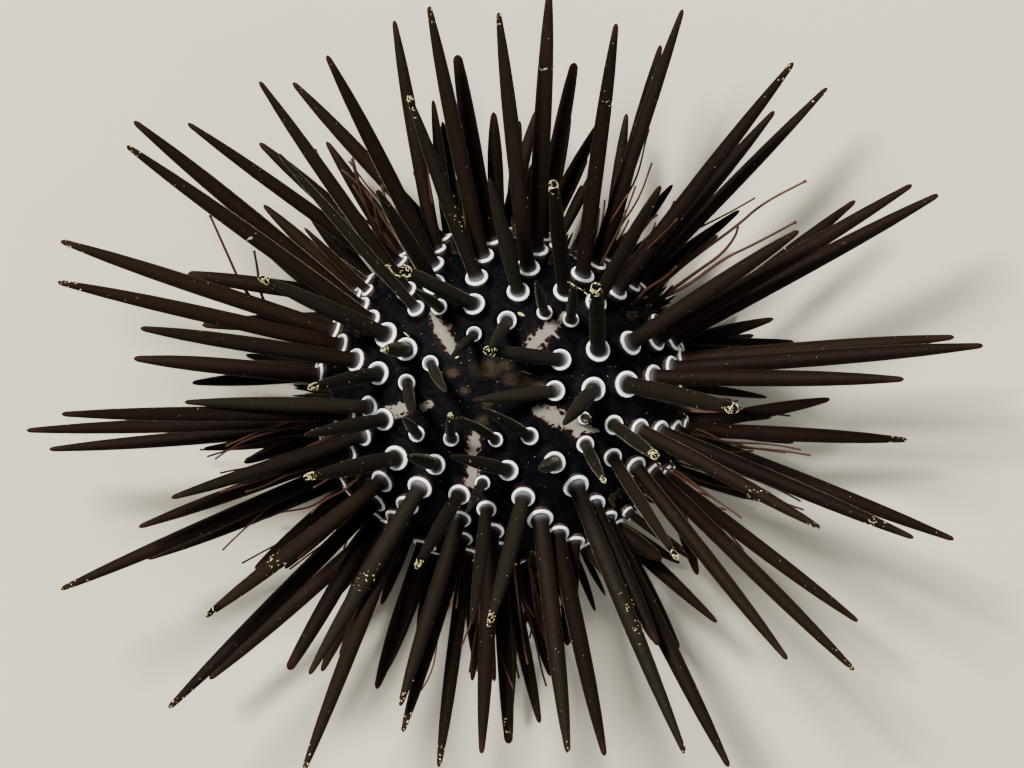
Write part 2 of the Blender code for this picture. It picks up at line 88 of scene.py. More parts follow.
# The pose: where the spines of each column end as seen from above, from its first row down,
# in mm to the right of the middle of the test and above it, judged to half a millimetre
TIPS = {
    "A": [(-6, 4.5), (-12, 15), (-11, 35.5), (-8.5, 46), (-5.5, 40.5), (-1, 34)],
    "B": [(-1.5, 5.5), (-1.5, 25.5), (0, 45.5), (5.5, 48), (8.5, 39.5)],
    "C": [(4, 13.5), (6, 25), (13.5, 44), (21.5, 46), (19, 42), (15, 34)],
    "D": [(8.5, 13.5), (18.5, 24.5), (34.5, 39.5), (32.5, 34), (39, 37)],
    "E": [(-2, 5.5), (11, 13), (35, 19.5), (48.5, 25), (52, 24), (42.5, 23.5)],
    "F": [(-3.5, -0.5), (7.5, -3.5), (27.5, -1.5), (47.5, 2), (57, 6), (54, 7), (33, 5.5)],
    "G": [(10, -2.5), (18, -7), (37.5, -15.5), (49, -16.5), (53.5, -17), (48.5, -5.5), (39.5, -0.5)],
    "H": [(12, -10), (20.5, -19), (34, -31), (41.5, -32.5), (42.5, -27), (23.5, -21.5)],
    "I": [(-2, -1.5), (4.5, -8.5), (21.5, -42), (18.5, -29.5), (27, -44), (19, -19.5)],
    "J": [(-5, -2.5), (-6, -7), (-1.5, -27), (8, -42), (12, -43.5), (4.5, -29.5)],
    "K": [(-4, -13.5), (-3.5, -26.5), (-2, -42.5), (1, -41), (4.5, -38.5)],
    "L": [(-10, -20), (-12, -36.5), (-11.5, -40), (-7.5, -44), (-3.5, -31.5)],
    "M": [(-6, -2), (-11, -7), (-22.5, -33), (-24, -44), (-19, -31)],
    "N": [(-11.5, -2.5), (-23, -9.5), (-35, -26), (-39.5, -37), (-25, -33), (-34.5, -35)],
    "O": [(-23, -4.5), (-39, -12), (-43, -15.5), (-52.5, -23), (-42.5, -19.5)],
    "P": [(-37.5, -1), (-52, -2), (-56, -4), (-54, -6), (-31, -8)],
    "Q": [(-10.5, -2), (-22.5, 1), (-42.5, 8), (-52.5, 13.5), (-52.5, 18.5), (-36, 8.5)],
    "R": [(-6.5, 0.5), (-14, 5.5), (-28.5, 14), (-44, 29.5), (-43.5, 32.5), (-37.5, 14.5)],
    "S": [(-26, 29), (-29, 37), (-37, 32), (-29, 30)],
    "T": [(-10, 12.5), (-14.5, 24), (-20.5, 40.5), (-13, 44.5), (-25, 37.5)],
    "U": [(-44, 4.5)],
    "V": [(-15, -35)],
}

# Node of each pair or three of columns, going round from the top of the plan with the clock
NODES = (
    ("interambulacrum_back", "A", "B"), ("ambulacrum_back_right", "C", "D"),
    ("interambulacrum_right", "E", "F"), ("ambulacrum_right", "G", "H"),
    ("interambulacrum_front_right", "I", "J"), ("ambulacrum_front", "K", "L"),
    ("interambulacrum_front_left", "V", "M", "N"), ("ambulacrum_left", "O", "P"),
    ("interambulacrum_left", "U", "Q", "R"), ("ambulacrum_back_left", "S", "T"),
)

# Spines: limits by angle down the test, and tables of pairs of (angle, value), in mm or degrees
CROWN_LIMIT = 50
VISIBLE_LIMIT = 76
STANDING_LIMIT = 124
CROWN_LENGTH = ((18, 11), (30, 14), (45, 23), (65, 33))
HIDDEN_LENGTH = ((70, 21), (85, 16.5), (100, 14), (124, 11.5))
RISE_BY_ANGLE = ((36, 30), (50, 24), (60, 17), (70, 10), (80, 4), (90, -3), (100, -9), (124, -24))
STANDING_RISE = ((124, -38), (146, -68))
LEAST_CROWN_RISE = 18
GIRTH_BY_ANGLE = ((18, 0.68), (30, 0.86), (45, 1.0), (80, 1.0), (110, 0.8), (146, 0.6))
AMBULACRAL_GIRTH = 0.9
# Girths of spines that differ from the rest of their row, judged
OWN_GIRTH = {
    "A0": 0.6, "A2": 0.9, "C0": 0.62, "D0": 0.65, "E0": 0.84, "F0": 0.8, "G0": 0.5, "G1": 0.78,
    "H0": 0.7, "H1": 0.76, "I0": 0.7, "I2": 1.04, "J0": 0.58, "J1": 0.82, "K0": 0.6, "K1": 0.78,
    "M0": 0.62, "N0": 0.64, "Q0": 0.68, "R0": 0.64, "S0": 0.7, "T0": 0.66,
}
SHAFT_RADIUS = 1.02 * MM
RING_RADIUS = 1.45
SOLID_PROFILE = ((0.42, 0.98), (0.84, 0.7), (1, 0.38))
NECK_HEIGHT = 1.1 * MM
JOINT_HEIGHT = 0.75 * MM
HEADING_JITTER = 9
RISE_JITTER = 3
LENGTH_JITTER = 0.1
GIRTH_JITTER = 0.06
STANDING_JITTER_SHARE = 0.5
SEED = 11

# Smaller spines beside some columns: on which side, how many degrees off, between which
# angles down the test, and their size as a share of a whole one
SMALL_SIDES = {"A": 1, "B": -1, "E": 1, "F": -1, "I": 1, "J": -1, "N": -1, "R": -1}
SMALL_TURN = 6.3
SMALL_SPAN = (66, 104)
SMALL_SHARE = 0.52

# Room kept between neighbouring spines, and how they are turned to get it
CLEARANCE = 0.42 * MM
PLAN_HOLD = 0.25
ROOT_SHARE = 0.02
LEAST_LEVER = 0.3
LARGEST_MOVE = 0.8 * MM
LOWEST_TIP = 0.9 * MM
SETTLING_STEPS = 400

# Fine spines, outer ones and those of the crown: share of the length and share of the radius
SHAFT_PROFILE = (
    (0, 0.88), (0.08, 0.94), (0.22, 1.0), (0.5, 1.0), (0.66, 0.92), (0.81, 0.74), (0.91, 0.54), (1, 0.32),
)
CROWN_PROFILE = (
    (0, 0.84), (0.12, 0.9), (0.28, 1.02), (0.46, 0.98), (0.68, 0.76), (0.85, 0.52), (1, 0.26),
)
# Share of the crown's pointed shape and olive colour, by angle down the test
POINTED = ((34, 1), (52, 0))
# The crown's olive is paler than the outer spines' brown: partly their own colours, partly painted light,
# the crown being lit more
OLIVE = ((36, 1), (58, 0))
LOWER_POINTEDNESS = 0.5
BLUNT_END = 0.93
BLUNT = "A4 B4 K3 M4 N4 R5 F2 G1 E0 E1 C1 A1 G0 Q0".split()
TIP_ROUNDING = 0.65 * MM
MOST_CAP = 0.997
# Flare of a shaft's foot, and its turn from the test's direction to its own, by height
FLARE = ((0.2 * MM, 1.18), (1.15 * MM, 1))
BEND = ((0, 0.35), (1.3 * MM, 1))
LARGEST_BOW = 0.1 * MM
SPINE_SIDES = 28
HIDDEN_SIDES = 18
# Stations of a shaft: from the joint up, in mm, and back from the tip, in shares of its rounding
FOOT_STATIONS = (-0.6, 0.0, 0.3, 0.55, 0.8, 1.15)
MIDDLE_STATIONS = 13
MIDDLE_START = 1.9 * MM
TIP_STATIONS = (2.2, 1.5, 1.0, 0.66, 0.36, 0.14, 0.03, 0.0)

# Spines with a pale growth line, and its place as a share of the length
GROWTH_LINES = {"G1": 0.42, "J1": 0.74, "Q5": 0.3, "E5": 0.62, "R3": 0.5, "B3": 0.7}
# Spines with dust over the end, which is blackened that far, and with a little dust there
DUSTED = "A1 A2 C1 E0 E1 F2 G1 H0 H1 J2 L0 R2 M0 N1 N2 R1 Q1".split()
DARK_END = (1.3, 2.4)
UNWORN = -1.0
LIGHTLY_DUSTED = "L1 L2 L3 K3 J3 I2 A3 B2 D2 D4 M3 N3 O3 Q3 Q4 R3 H3 G2 G5".split()
# Patches of dust, at shares of the length
DUST_PATCHES = {
    "I2": (0.44, 0.55), "M2": (0.5,), "A2": (0.36,), "N2": (0.62,), "C2": (0.7,), "G3": (0.84,),
    "G2": (0.66,),
}

# A spine leaning less than this from the test's direction is turned about another way
LEAST_LEAN = 0.02
SPARE_WAY = (0.3, 0.9, 0.1)

# Milled ring and its lip of skin, from below: share of the spine's radius, height over the joint
# in mm, how white it is, and how far inside the opening it lies, which sets the painted shade there
RING_PROFILE = (
    (1.25, -0.75, 0, 0), (1.48, -0.3, 0, 0), (1.53, 0, 0.1, 0), (1.5, 0.16, 0.45, 0), (1.45, 0.29, 0.95, 0),
    (1.38, 0.38, 1, 0), (1.29, 0.42, 1, 0.12), (1.2, 0.41, 1, 0.5), (1.1, 0.36, 1, 0.85), (0.96, 0.28, 1, 1),
)
RING_LEAN = 0.3
UPPER_RING_SIDES = 48
LOWER_RING_SIDES = 24
RING_WAVE = 0.012
WHITE_FROM = 0.4

# Skin: its levels and the points round each, the angles down the test of its upper and lower
# half, and the bosses round the spines, in shares of their radius
SKIN_GRID = (186, 480)
SKIN_SPANS = (0.5, 90), (90.6, 179.4)
BOSS_RADII = (2.2, 1.25)
BOSS_HEIGHT = 0.9 * JOINT_HEIGHT
BOSS_ROOM = 4 * MM
# Pale streaks of the skin: lines of places, in mm to the right of the middle of the test and
# above it, each with the streak's half width there
STREAKS = (
    ((-8.3, 9.6, 0.3), (-7.6, 8.5, 0.8), (-6.9, 7.5, 1.0), (-6.3, 6.5, 0.95), (-5.7, 5.2, 0.6)),
    ((7.4, 9.7, 0.35), (6.6, 8.6, 0.6), (5.6, 7.9, 0.8), (4.9, 7.3, 1.0), (3.7, 6.1, 1.1), (2.9, 5.2, 0.7)),
    ((5.6, 7.9, 0.4), (6.6, 7.0, 0.25)),
    ((3.9, -1.5, 0.5), (5.0, -1.9, 0.95), (6.4, -2.5, 1.05), (7.6, -3.2, 0.95), (8.8, -3.6, 0.95),
     (9.8, -3.8, 0.6)),
    ((9.8, -3.8, 0.5), (11.4, -4.1, 0.25)),
    ((8.6, -3.6, 0.5), (8.9, -4.6, 0.3)),
    ((-3.2, -4.4, 0.5), (-3.3, -5.3, 0.85), (-3.4, -6.1, 0.8), (-3.5, -6.9, 0.6), (-3.8, -8.0, 0.6),
     (-3.4, -8.9, 0.95), (-3.6, -9.7, 0.7), (-3.5, -10.6, 0.4)),
    ((-15.2, -2.5, 0.25), (-14.1, -2.4, 0.55), (-13.2, -2.0, 0.8), (-12.0, -1.6, 0.75), (-11.2, -1.3, 0.6)),
    ((-12.2, -1.6, 0.4), (-12.2, -0.8, 0.25)),
    ((-9.3, -1.3, 0.5), (-8.6, -1.1, 0.55)),
)
# Value stored on the skin at a streak's edge, its middle being half a unit above it
STREAK_EDGE = 0.5
# Low mounds round the apex: place, then length and width
PLATES = (
    (-1.9, 3.2, 2.5, 1.7), (2.1, 1.9, 2.6, 1.5), (-5.7, 2.7, 1.2, 0.9), (-2.3, -3.1, 1.3, 1.0),
    (-1.6, -0.9, 1.1, 0.8), (0.5, 3.6, 1.4, 1.0), (4.2, 1.3, 1.2, 0.8), (-4.4, 0.6, 0.9, 0.8),
)
PLATE_HEIGHT = 0.3 * MM
# Folds of the peristome, and the angles down the test between which it starts
MOUTH_FADE = (PERISTOME_EDGE - 4, PERISTOME_EDGE + 1)
FOLDS_ROUND = 44
FOLD_HEIGHT = 0.07 * MM

# Short spines: lengths in mm by angle down the test, then share of the length and of the radius
SHORT_TRIES = 1500
SHORT_ROOM = 2.1 * MM
SHORT_LENGTH = ((60, 1.4), (90, 4.0), (152, 3.2))
SHORT_PROFILE = (
    (-0.1, 0.9), (0, 1.15), (0.06, 1.5), (0.12, 0.95), (0.4, 1), (0.75, 0.7), (0.93, 0.4), (1, 0.08),
)
SHORT_RADIUS = 0.27 * MM
SHORT_LEAN = 0.3
SHORT_LENGTH_SPREAD = (0.7, 1.15)
SHORT_RADIUS_SPREAD = (0.8, 1.15)
LOWEST_SHORT = 0.5 * MM

# Tube feet of the narrow sectors: share of the length and radius in mm
FEET_TO_SECTOR = 30
FEET_SPAN = (66, 118)
FEET_TURN = 7
FEET_LENGTH = (6, 18)
FEET_CURL = 0.22
FEET_LIFT = (-0.1, 0.25)
FEET_WAVE = 0.03
FEET_BENDS = (4, 9)
FOOT_PROFILE = ((0, 0.25), (0.1, 0.17), (0.92, 0.11), (0.97, 0.17), (1, 0.13))
LOWEST_FOOT = 0.6 * MM
# Long tube feet that show past the spines: their plans, from the test outwards
LONG_FEET = (
    ((17.5, 12.0), (22.7, 16.5), (28.0, 20.2), (31.2, 23.1), (36.5, 25.8)),
    ((17.8, 11.3), (21.9, 12.9), (26.4, 16.4), (30.3, 18.2), (35.3, 20.9)),
    ((18.0, 11.0), (23.5, 15.0), (26.4, 17.0), (28.0, 19.1), (28.3, 20.3)),
    ((-18.5, 6.0), (-26.0, 8.2), (-30.7, 12.0), (-33.1, 17.4), (-35.0, 21.7)),
    ((-18.0, 8.0), (-25.0, 8.5), (-28.8, 11.0), (-29.3, 15.2), (-29.7, 17.4)),
)
LONG_FOOT_LEVELS = (12.0, 15.0)
LONG_FOOT_STOUTNESS = 1.4
# Ten stout tube feet round the mouth, in pairs
BUCCAL_HEADING = 54
BUCCAL_PAIR = 9
BUCCAL_ANGLE = 170
BUCCAL_LENGTH = 2.0 * MM
BUCCAL_FALL = 0.85
BUCCAL_SPREAD = 0.6
BUCCAL_STOUTNESS = 2.2

# Sediment: sizes of grains and of threads in mm, and how many grains a mm of shaft carries
GRAINS = {"shaft": (0.02, 0.042), "clump": (0.05, 0.12), "strand": (0.03, 0.07), "skin": (0.02, 0.045)}
THREADS = {"shaft": (0.022, 0.048), "strand": (0.03, 0.055)}
GRAINS_TO_MM = 0.6
# Share of the length and share of the radius of a grain and of a scrap
GRAIN_PROFILE = ((-1, 0.25), (-0.35, 1), (0.4, 0.8), (1, 0.2))
SCRAP_PROFILE = ((-1, 0.2), (-0.6, 1), (0.5, 0.8), (1, 0.15))
# Scraps on the skin: place, compass heading, length and width
SCRAPS = (
    (-5.3, 4.6, 30, 0.45, 0.25), (1.9, 4.3, -10, 0.9, 0.22), (2.9, 2.8, -20, 1.3, 0.07),
    (-11.2, 7.2, -40, 1.2, 0.14), (2.3, 9.7, -25, 0.9, 0.4),
)
SCRAP_LIFT = 0.35 * MM
SKIN_GRAINS = 420
SKIN_GRAIN_LIFT = 0.1 * MM
SHAFT_GRAIN_LIFT = 0.02 * MM
# Strands that hang from the ends of spines: their plans from the tip on, in mm, and their lift
STRANDS = {
    "E1": ((-0.6, -1.8), (-1.1, -1.0), (-1.9, -0.4), (-2.8, 0.1), (-3.1, 0.3)),
    "A1": ((0.5, -0.9), (-0.3, -1.0), (-0.9, -0.5), (-1.2, 0.1), (-1.5, 0.3)),
}
STRAND_LIFT = 0.4

# Teeth: heading of the first, how far each lies from the middle at its root and how far it
# bends in, its radius by share of its length, its thickness as a share of its width, and how
# deep its root is sunk
TOOTH_HEADING = 18
TOOTH_REACH = 1.5
TOOTH_BEND = 1.15
TOOTH_PROFILE = ((0, 0.8), (0.6, 0.6), (1, 0.18))
TOOTH_THICKNESS = 0.55
TOOTH_SINK = 0.4 * MM

# Fine ridges round a shaft and round a ring
SHAFT_RIDGES = 26
RING_RIDGES = 34

# Bake map: degrees down the test to its width, size of a small body's patch, and the room
# round a large one's, as a share of its square
UNWRAP_DEGREES = 370
SMALL_PATCH = 0.003
PATCH_MARGIN = 0.06

# Seeds of the looks, one for each kind of piece
SEEDS = {"shafts": 5, "rings": 6, "short_spines": 7, "tube_feet": 9, "sediment": 13}

# Colours, many of them in pairs that noise or a body's own tone lies between
SKIN_DARKS = (0.0005, 0.0007, 0.0017), (0.0021, 0.0015, 0.0017)
SKIN_FLECK = (0.010, 0.004, 0.004)
MOUND_BROWNS = (0.021, 0.018, 0.0095), (0.036, 0.022, 0.015)
MEMBRANE_BROWNS = (0.011, 0.0062, 0.0052), (0.038, 0.023, 0.018)
STREAK_PALES = (0.080, 0.050, 0.040), (0.158, 0.143, 0.116)
STREAK_GREY = (0.122, 0.108, 0.089)
STREAK_HALO = (0.016, 0.005, 0.0045)
# Outer shafts are darker than the crown's: partly their own browner colour, partly painted shade, as they
# get less light
OUTER_SHAFTS = (0.0042, 0.0021, 0.0014), (0.0082, 0.0040, 0.0027)
CROWN_SHAFTS = (0.0054, 0.0048, 0.0034), (0.0098, 0.0087, 0.0062)
SHAFT_MOTTLE = (0.0092, 0.0048, 0.0031)
SHAFT_TIP = (0.025, 0.0092, 0.0055)
# Greys at a shaft's foot: partly the base's own pale grey, partly painted glow of the white ring spilling
# onto it
SHAFT_FOOT = (0.042, 0.040, 0.042)
SHAFT_ROOT = (0.11, 0.105, 0.112)
SHAFT_SHEEN = (0.74, 0.69, 0.46)
GROWTH_PALE = (0.34, 0.33, 0.22)
WORN_BLACK = (0.0012, 0.0009, 0.0014)
RING_WHITES = (0.98, 0.98, 0.98), (0.90, 0.90, 0.89)
# Painted shade: dark grey that stands for the shade in the recess inside a ring's opening
RING_PAINTED_SHADE = (0.10, 0.096, 0.105)
LIP_BROWNS = (0.012, 0.008, 0.006), (0.055, 0.038, 0.028)
TUBE_FOOT_REDS = (0.020, 0.0082, 0.0053), (0.052, 0.0225, 0.0145)
SEDIMENT_YELLOWS = (0.36, 0.30, 0.10), (0.86, 0.84, 0.48)
TOOTH_IVORIES = (0.50, 0.44, 0.32), (0.72, 0.70, 0.62)
FLOOR_COLOUR = (0.43, 0.392, 0.325)
WORLD_COLOUR = (1.0, 0.97, 0.92)

# Stage, in metres: the lights by name, place, size, power and colour, and the camera
FLOOR_REACH = 3.0
LIGHTS = (
    ("key", (-0.30, 0.34, 0.80), 0.2, 29.0, (1.0, 0.97, 0.92)),
    ("fill", (0.6, -0.3, 0.6), 0.6, 4.0, (0.92, 0.96, 1.0)),
)
LIGHT_AIM = (0, 0, 0.02)
WORLD_STRENGTH = 0.42
CAMERA_HEIGHT = 1.0
PICTURE_WIDTH = 122.9 * MM
PICTURE_CENTRE = (1.2 * MM, 1.44 * MM)


def along(table, place):
    """Value at a place along a short table, which is an angle down the test or a share."""
    return np.interp(place, *zip(*table))


def unit(azimuth):
    """Plan direction of a compass heading in degrees."""
    return np.stack((np.cos(np.radians(azimuth)), np.sin(np.radians(azimuth))), axis=-1)


def normalised(ways):
    """Directions of length one."""
    return ways / np.maximum(np.linalg.norm(ways, axis=-1, keepdims=True), 1e-9)


def rim_point(azimuth):
    """Point of the widest outline that lies in this direction from the apex."""
    way = unit(azimuth)
    size = np.array((TEST_LENGTH, TEST_WIDTH))
    a = ((way / size) ** 2).sum(-1)
    b = 2 * (APEX_OFFSET * way / size ** 2).sum(-1)
    c = ((APEX_OFFSET / size) ** 2).sum() - 1 / 4
    reach = (-b + np.sqrt(b * b - 4 * a * c)) / (2 * a)
    return APEX_OFFSET + way * reach[..., None]


def test_point(azimuth, angle):
    """Points on the test."""
    azimuth, angle = np.broadcast_arrays(np.asarray(azimuth, float), np.asarray(angle, float))
    slope = np.radians(angle)
    above = angle <= 90
    low = np.abs(np.sin(slope)) ** BASE_FULLNESS
    spread = np.where(above, np.sin(slope), low)
    deep = -BASE_DEPTH * np.abs(np.cos(slope)) ** BASE_FULLNESS
    height = np.where(above, CROWN_HEIGHT * np.cos(slope), deep)
    middle = np.where(above[..., None], APEX_OFFSET, MOUTH_OFFSET)
    plan = middle + (rim_point(azimuth) - middle) * spread[..., None]
    return np.concatenate((plan, (WIDEST_LEVEL + height)[..., None]), axis=-1)


def test_normal(azimuth, angle):
    """Outward normals of the test."""
    azimuth, angle = np.asarray(azimuth, float), np.asarray(angle, float)
    down = test_point(azimuth, angle + 0.5) - test_point(azimuth, angle - 0.5)
    sideways = test_point(azimuth + 0.5, angle) - test_point(azimuth - 0.5, angle)
    return normalised(np.cross(down, sideways))


def column_heading(column, angle):
    """Compass heading of a column at an angle down the test."""
    top, rim, _, _ = COLUMNS[column]
    share = (max(angle, COLUMN_TOP) - COLUMN_TOP) / (COLUMN_RIM - COLUMN_TOP)
    return top + (rim - top) * min(share, MOST_TURN_SHARE)


class Spine:
    """One spine: its root on the test, its joint, its tip and its girth."""

    def __init__(self, node, column, row, angle, draw, aside=0):
        self.node = node
        self.name = f"{column}{row}"
        self.angle = angle
        self.share = SMALL_SHARE if aside else 1
        self.azimuth = column_heading(column, angle) + aside
        self.root = Vector(test_point(self.azimuth, angle))
        self.normal = Vector(test_normal(self.azimuth, angle))
        girth = along(GIRTH_BY_ANGLE, angle) * (1 + GIRTH_JITTER * draw.uniform(-1, 1))
        girth *= AMBULACRAL_GIRTH if node.startswith("ambulacrum") else 1
        self.girth = girth * SMALL_SHARE if aside else OWN_GIRTH.get(self.name, girth)
        self.joint = self.root + self.normal * JOINT_HEIGHT
        self.stands = angle > STANDING_LIMIT
        self.posed = not aside and row < len(TIPS[column])
        jitter = [draw.uniform(-1, 1) for _ in range(3)]
        if self.posed:
            self.tip = self.posed_tip(Vector(TIPS[column][row]) * MM, jitter)
        else:
            self.tip = self.natural_tip(jitter)

    def posed_tip(self, place, jitter):
        """Tip of a spine that ends at a known place in the plan, with its rise from its row."""
        reach = (place - self.joint.xy).length
        if self.angle < CROWN_LIMIT:
            length = along(CROWN_LENGTH, self.angle) * MM
            rise = max(math.degrees(math.acos(min(1.0, reach / length))), LEAST_CROWN_RISE)
        else:
            rise = along(RISE_BY_ANGLE, self.angle) + RISE_JITTER * jitter[1]
        return Vector((place.x, place.y, self.joint.z + reach * math.tan(math.radians(rise))))

    def natural_tip(self, jitter):
        """Tip of a spine that follows the test, shorter and lower towards the mouth."""
        if self.stands:
            rise = math.radians(along(STANDING_RISE, self.angle))
            length = self.joint.z / -math.sin(rise)
            heading = self.azimuth + HEADING_JITTER * STANDING_JITTER_SHARE * jitter[0]
        else:
            rise = math.radians(along(RISE_BY_ANGLE, self.angle) + RISE_JITTER * jitter[1])
            length = along(HIDDEN_LENGTH, self.angle) * MM * (1 + LENGTH_JITTER * jitter[2]) * self.share
            heading = self.azimuth + HEADING_JITTER * jitter[0]
        way = unit(heading) * math.cos(rise)
        tip = self.joint + Vector((way[0], way[1], math.sin(rise))) * length
        if not self.stands:
            tip.z = max(tip.z, LOWEST_TIP)
        return tip


def small_spines(node, column, draw):
    """Smaller spines beside a column, one between each two of its rows."""
    if column not in SMALL_SIDES:
        return []
    first, step = COLUMNS[column][2:]
    aside = SMALL_SIDES[column] * SMALL_TURN
    rows = int((LAST_ROW - first) / step)
    angles = [first + step * (row + 0.5) for row in range(rows)]
    angles = [angle for angle in angles if SMALL_SPAN[0] < angle < SMALL_SPAN[1]]
    return [Spine(node, column, 0, angle, draw, aside) for angle in angles]


def all_spines():
    """Every spine of the animal, in the order of its columns and rows."""
    draw = random.Random(SEED)
    spines = []
    for node, *columns in NODES:
        for column in columns:
            first, step = COLUMNS[column][2:]
            rows = int((LAST_ROW - first) / step) + 1
            spines += [Spine(node, column, row, first + step * row, draw) for row in range(rows)]
            spines += small_spines(node, column, draw)
    return spines


def closest_places(starts, ways):
    """Shares along each pair of segments where the pair comes closest."""
    count = len(starts)
    first, second = np.triu_indices(count, 1)
    p, q = ways[first], ways[second]
    between = starts[first] - starts[second]
    pp, qq, pq = (p * p).sum(1), (q * q).sum(1), (p * q).sum(1)
    pb, qb = (p * between).sum(1), (q * between).sum(1)
    even = np.maximum(pp * qq - pq * pq, 1e-16)
    s = np.clip((pq * qb - qq * pb) / even, 0, 1)
    t = np.clip((pq * s + qb) / qq, 0, 1)
    s = np.clip((pq * t - pb) / pp, 0, 1)
    return first, second, s, t


def thickness(share, lengths, girths):
    """Radius of each spine of the solids at a share of its length."""
    stout = np.where(share * lengths < NECK_HEIGHT, RING_RADIUS, along(SOLID_PROFILE, share))
    return SHAFT_RADIUS * girths * stout


def settle(spines):
    """Turn spines that come too close apart, mostly up and down, until all are clear."""
    starts = np.array([spine.joint for spine in spines])
    tips = np.array([spine.tip for spine in spines])
    girths = np.array([spine.girth for spine in spines])
    posed = np.array([spine.posed for spine in spines])
    stands = np.array([spine.stands for spine in spines])
    hold = np.where(posed[:, None], (PLAN_HOLD, PLAN_HOLD, 1.0), (1.0, 1.0, 1.0))
    for _ in range(SETTLING_STEPS):
        ways = tips - starts
        lengths = np.linalg.norm(ways, axis=1)
        first, second, s, t = closest_places(starts, ways)
        apart = starts[first] + ways[first] * s[:, None] - starts[second] - ways[second] * t[:, None]
        distance = np.maximum(np.linalg.norm(apart, axis=1), 1e-7)
        need = thickness(s, lengths[first], girths[first]) + thickness(t, lengths[second], girths[second])
        short = need + CLEARANCE - distance
        tight = (short > 0) & (np.maximum(s, t) > ROOT_SHARE)
        if not tight.any():
            break
        push = apart[tight] / distance[tight, None] * (short[tight, None] * 0.5)
        move = np.zeros_like(tips)
        np.add.at(move, first[tight], push / np.maximum(s[tight, None], LEAST_LEVER))
        np.add.at(move, second[tight], -push / np.maximum(t[tight, None], LEAST_LEVER))
        tips += np.clip(move * hold, -LARGEST_MOVE, LARGEST_MOVE)
        tips[:, 2] = np.where(stands, 0.0, np.maximum(tips[:, 2], LOWEST_TIP))
    for spine, tip in zip(spines, tips):
        spine.tip = Vector(tip)


# Meshes


def skin_place(azimuth, angle):
    """Place on the unwrap of the skin: the apex in the middle, the mouth round the rim."""
    return 0.5 + unit(azimuth) * (np.asarray(angle, float)[..., None] / UNWRAP_DEGREES)


def patch_at(azimuth, angle):
    """Small patch of the bake map at a place of the skin."""
    return skin_place(azimuth, angle), SMALL_PATCH


def cells(count):
    """Corner and size of so many squares of the bake map."""
    across = math.ceil(math.sqrt(count))
    corners = [np.array((index % across, index // across)) + PATCH_MARGIN for index in range(count)]
    return [(corner / across, (1 - 2 * PATCH_MARGIN) / across) for corner in corners]


def grid_corners(rows, columns):
    """Row and column of each corner of the faces of a grid that closes on itself sideways."""
    row, column = np.meshgrid(np.arange(rows - 1), np.arange(columns), indexing="ij")
    return row.reshape(-1, 1) + (0, 0, 1, 1), column.reshape(-1, 1) + (0, 1, 1, 0)


class Piece:
    """Many like bodies gathered into one mesh."""

    def __init__(self, name):
        self.name = name
        self.points = []
        self.faces = []
        self.maps = {"OFBake": [], "Around": []}
        self.values = {}
        self.count = 0

    def tube(self, centres, sideways, upward, radii, sides, patch, **values):
        """Add a closed tube through rings of points. A patch is a corner and a size on the bake map."""
        stations = len(centres)
        turn = np.arange(sides) * 2 * np.pi / sides
        ring = np.cos(turn)[:, None] * sideways[:, None] + np.sin(turn)[:, None] * upward[:, None]
        points = centres[:, None] + ring * radii.reshape(stations, -1, 1)
        points[..., 2] = np.maximum(points[..., 2], 0)
        row, column = grid_corners(stations, sides)
        first, last = self.count, self.count + (stations - 1) * sides
        self.faces += (row * sides + column % sides + first).tolist()
        self.faces.append(list(range(first, first + sides))[::-1])
        self.faces.append(list(range(last, last + sides)))
        share = np.linspace(0, 1, sides, endpoint=False)
        u = np.concatenate(((column / sides).ravel(), 1 - share, share))
        v = np.concatenate(((row / (stations - 1)).ravel(), np.zeros(sides), np.ones(sides)))
        place = np.stack((u, v), axis=1)
        self.maps["OFBake"].append(patch[0] + patch[1] * place)
        self.maps["Around"].append(place)
        self.points.append(points.reshape(-1, 3))
        for name, value in values.items():
            spread = np.broadcast_to(np.asarray(value, float).reshape(-1, 1), (stations, sides))
            self.values.setdefault(name, []).append(spread.ravel())
        self.count += stations * sides

    def rod(self, centres, radii, sides, patch, **values):
        """Add a closed tube along a line of points."""
        ways = normalised(np.gradient(centres, axis=0))
        helper = np.where(np.abs(ways[:, 2:3]) < 0.9, (0.0, 0.0, 1.0), (1.0, 0.0, 0.0))
        sideways = normalised(np.cross(helper, ways))
        self.tube(centres, sideways, np.cross(ways, sideways), radii, sides, patch, **values)

    def make(self, material, smooth=True):
        """Mesh object of the gathered bodies, riding on the urchin."""
        mesh = bpy.data.meshes.new(self.name)
        mesh.from_pydata(np.concatenate(self.points).tolist(), [], self.faces)
        return dress(mesh, self.maps, self.values, material, smooth)


def add_object(name, data):
    """New object in the scene."""
    made = bpy.data.objects.new(name, data)
    bpy.context.scene.collection.objects.link(made)
    return made


def dress(mesh, maps, values, material, smooth=True):
    """Give a mesh its maps, point values and material, and set it on the urchin."""
    for name, parts in maps.items():
        layer = mesh.uv_layers.new(name=name)
        layer.data.foreach_set("uv", np.concatenate(parts).astype(np.float32).ravel())
    for name, parts in values.items():
        layer = mesh.attributes.new(name, "FLOAT", "POINT")
        layer.data.foreach_set("value", np.concatenate(parts).astype(np.float32))
    mesh.polygons.foreach_set("use_smooth", np.full(len(mesh.polygons), smooth))
    mesh.materials.append(material)
    mesh.update()
    piece = add_object(mesh.name, mesh)
    piece.location = (*SHIFT, 0)
    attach(piece, "root")
    return piece


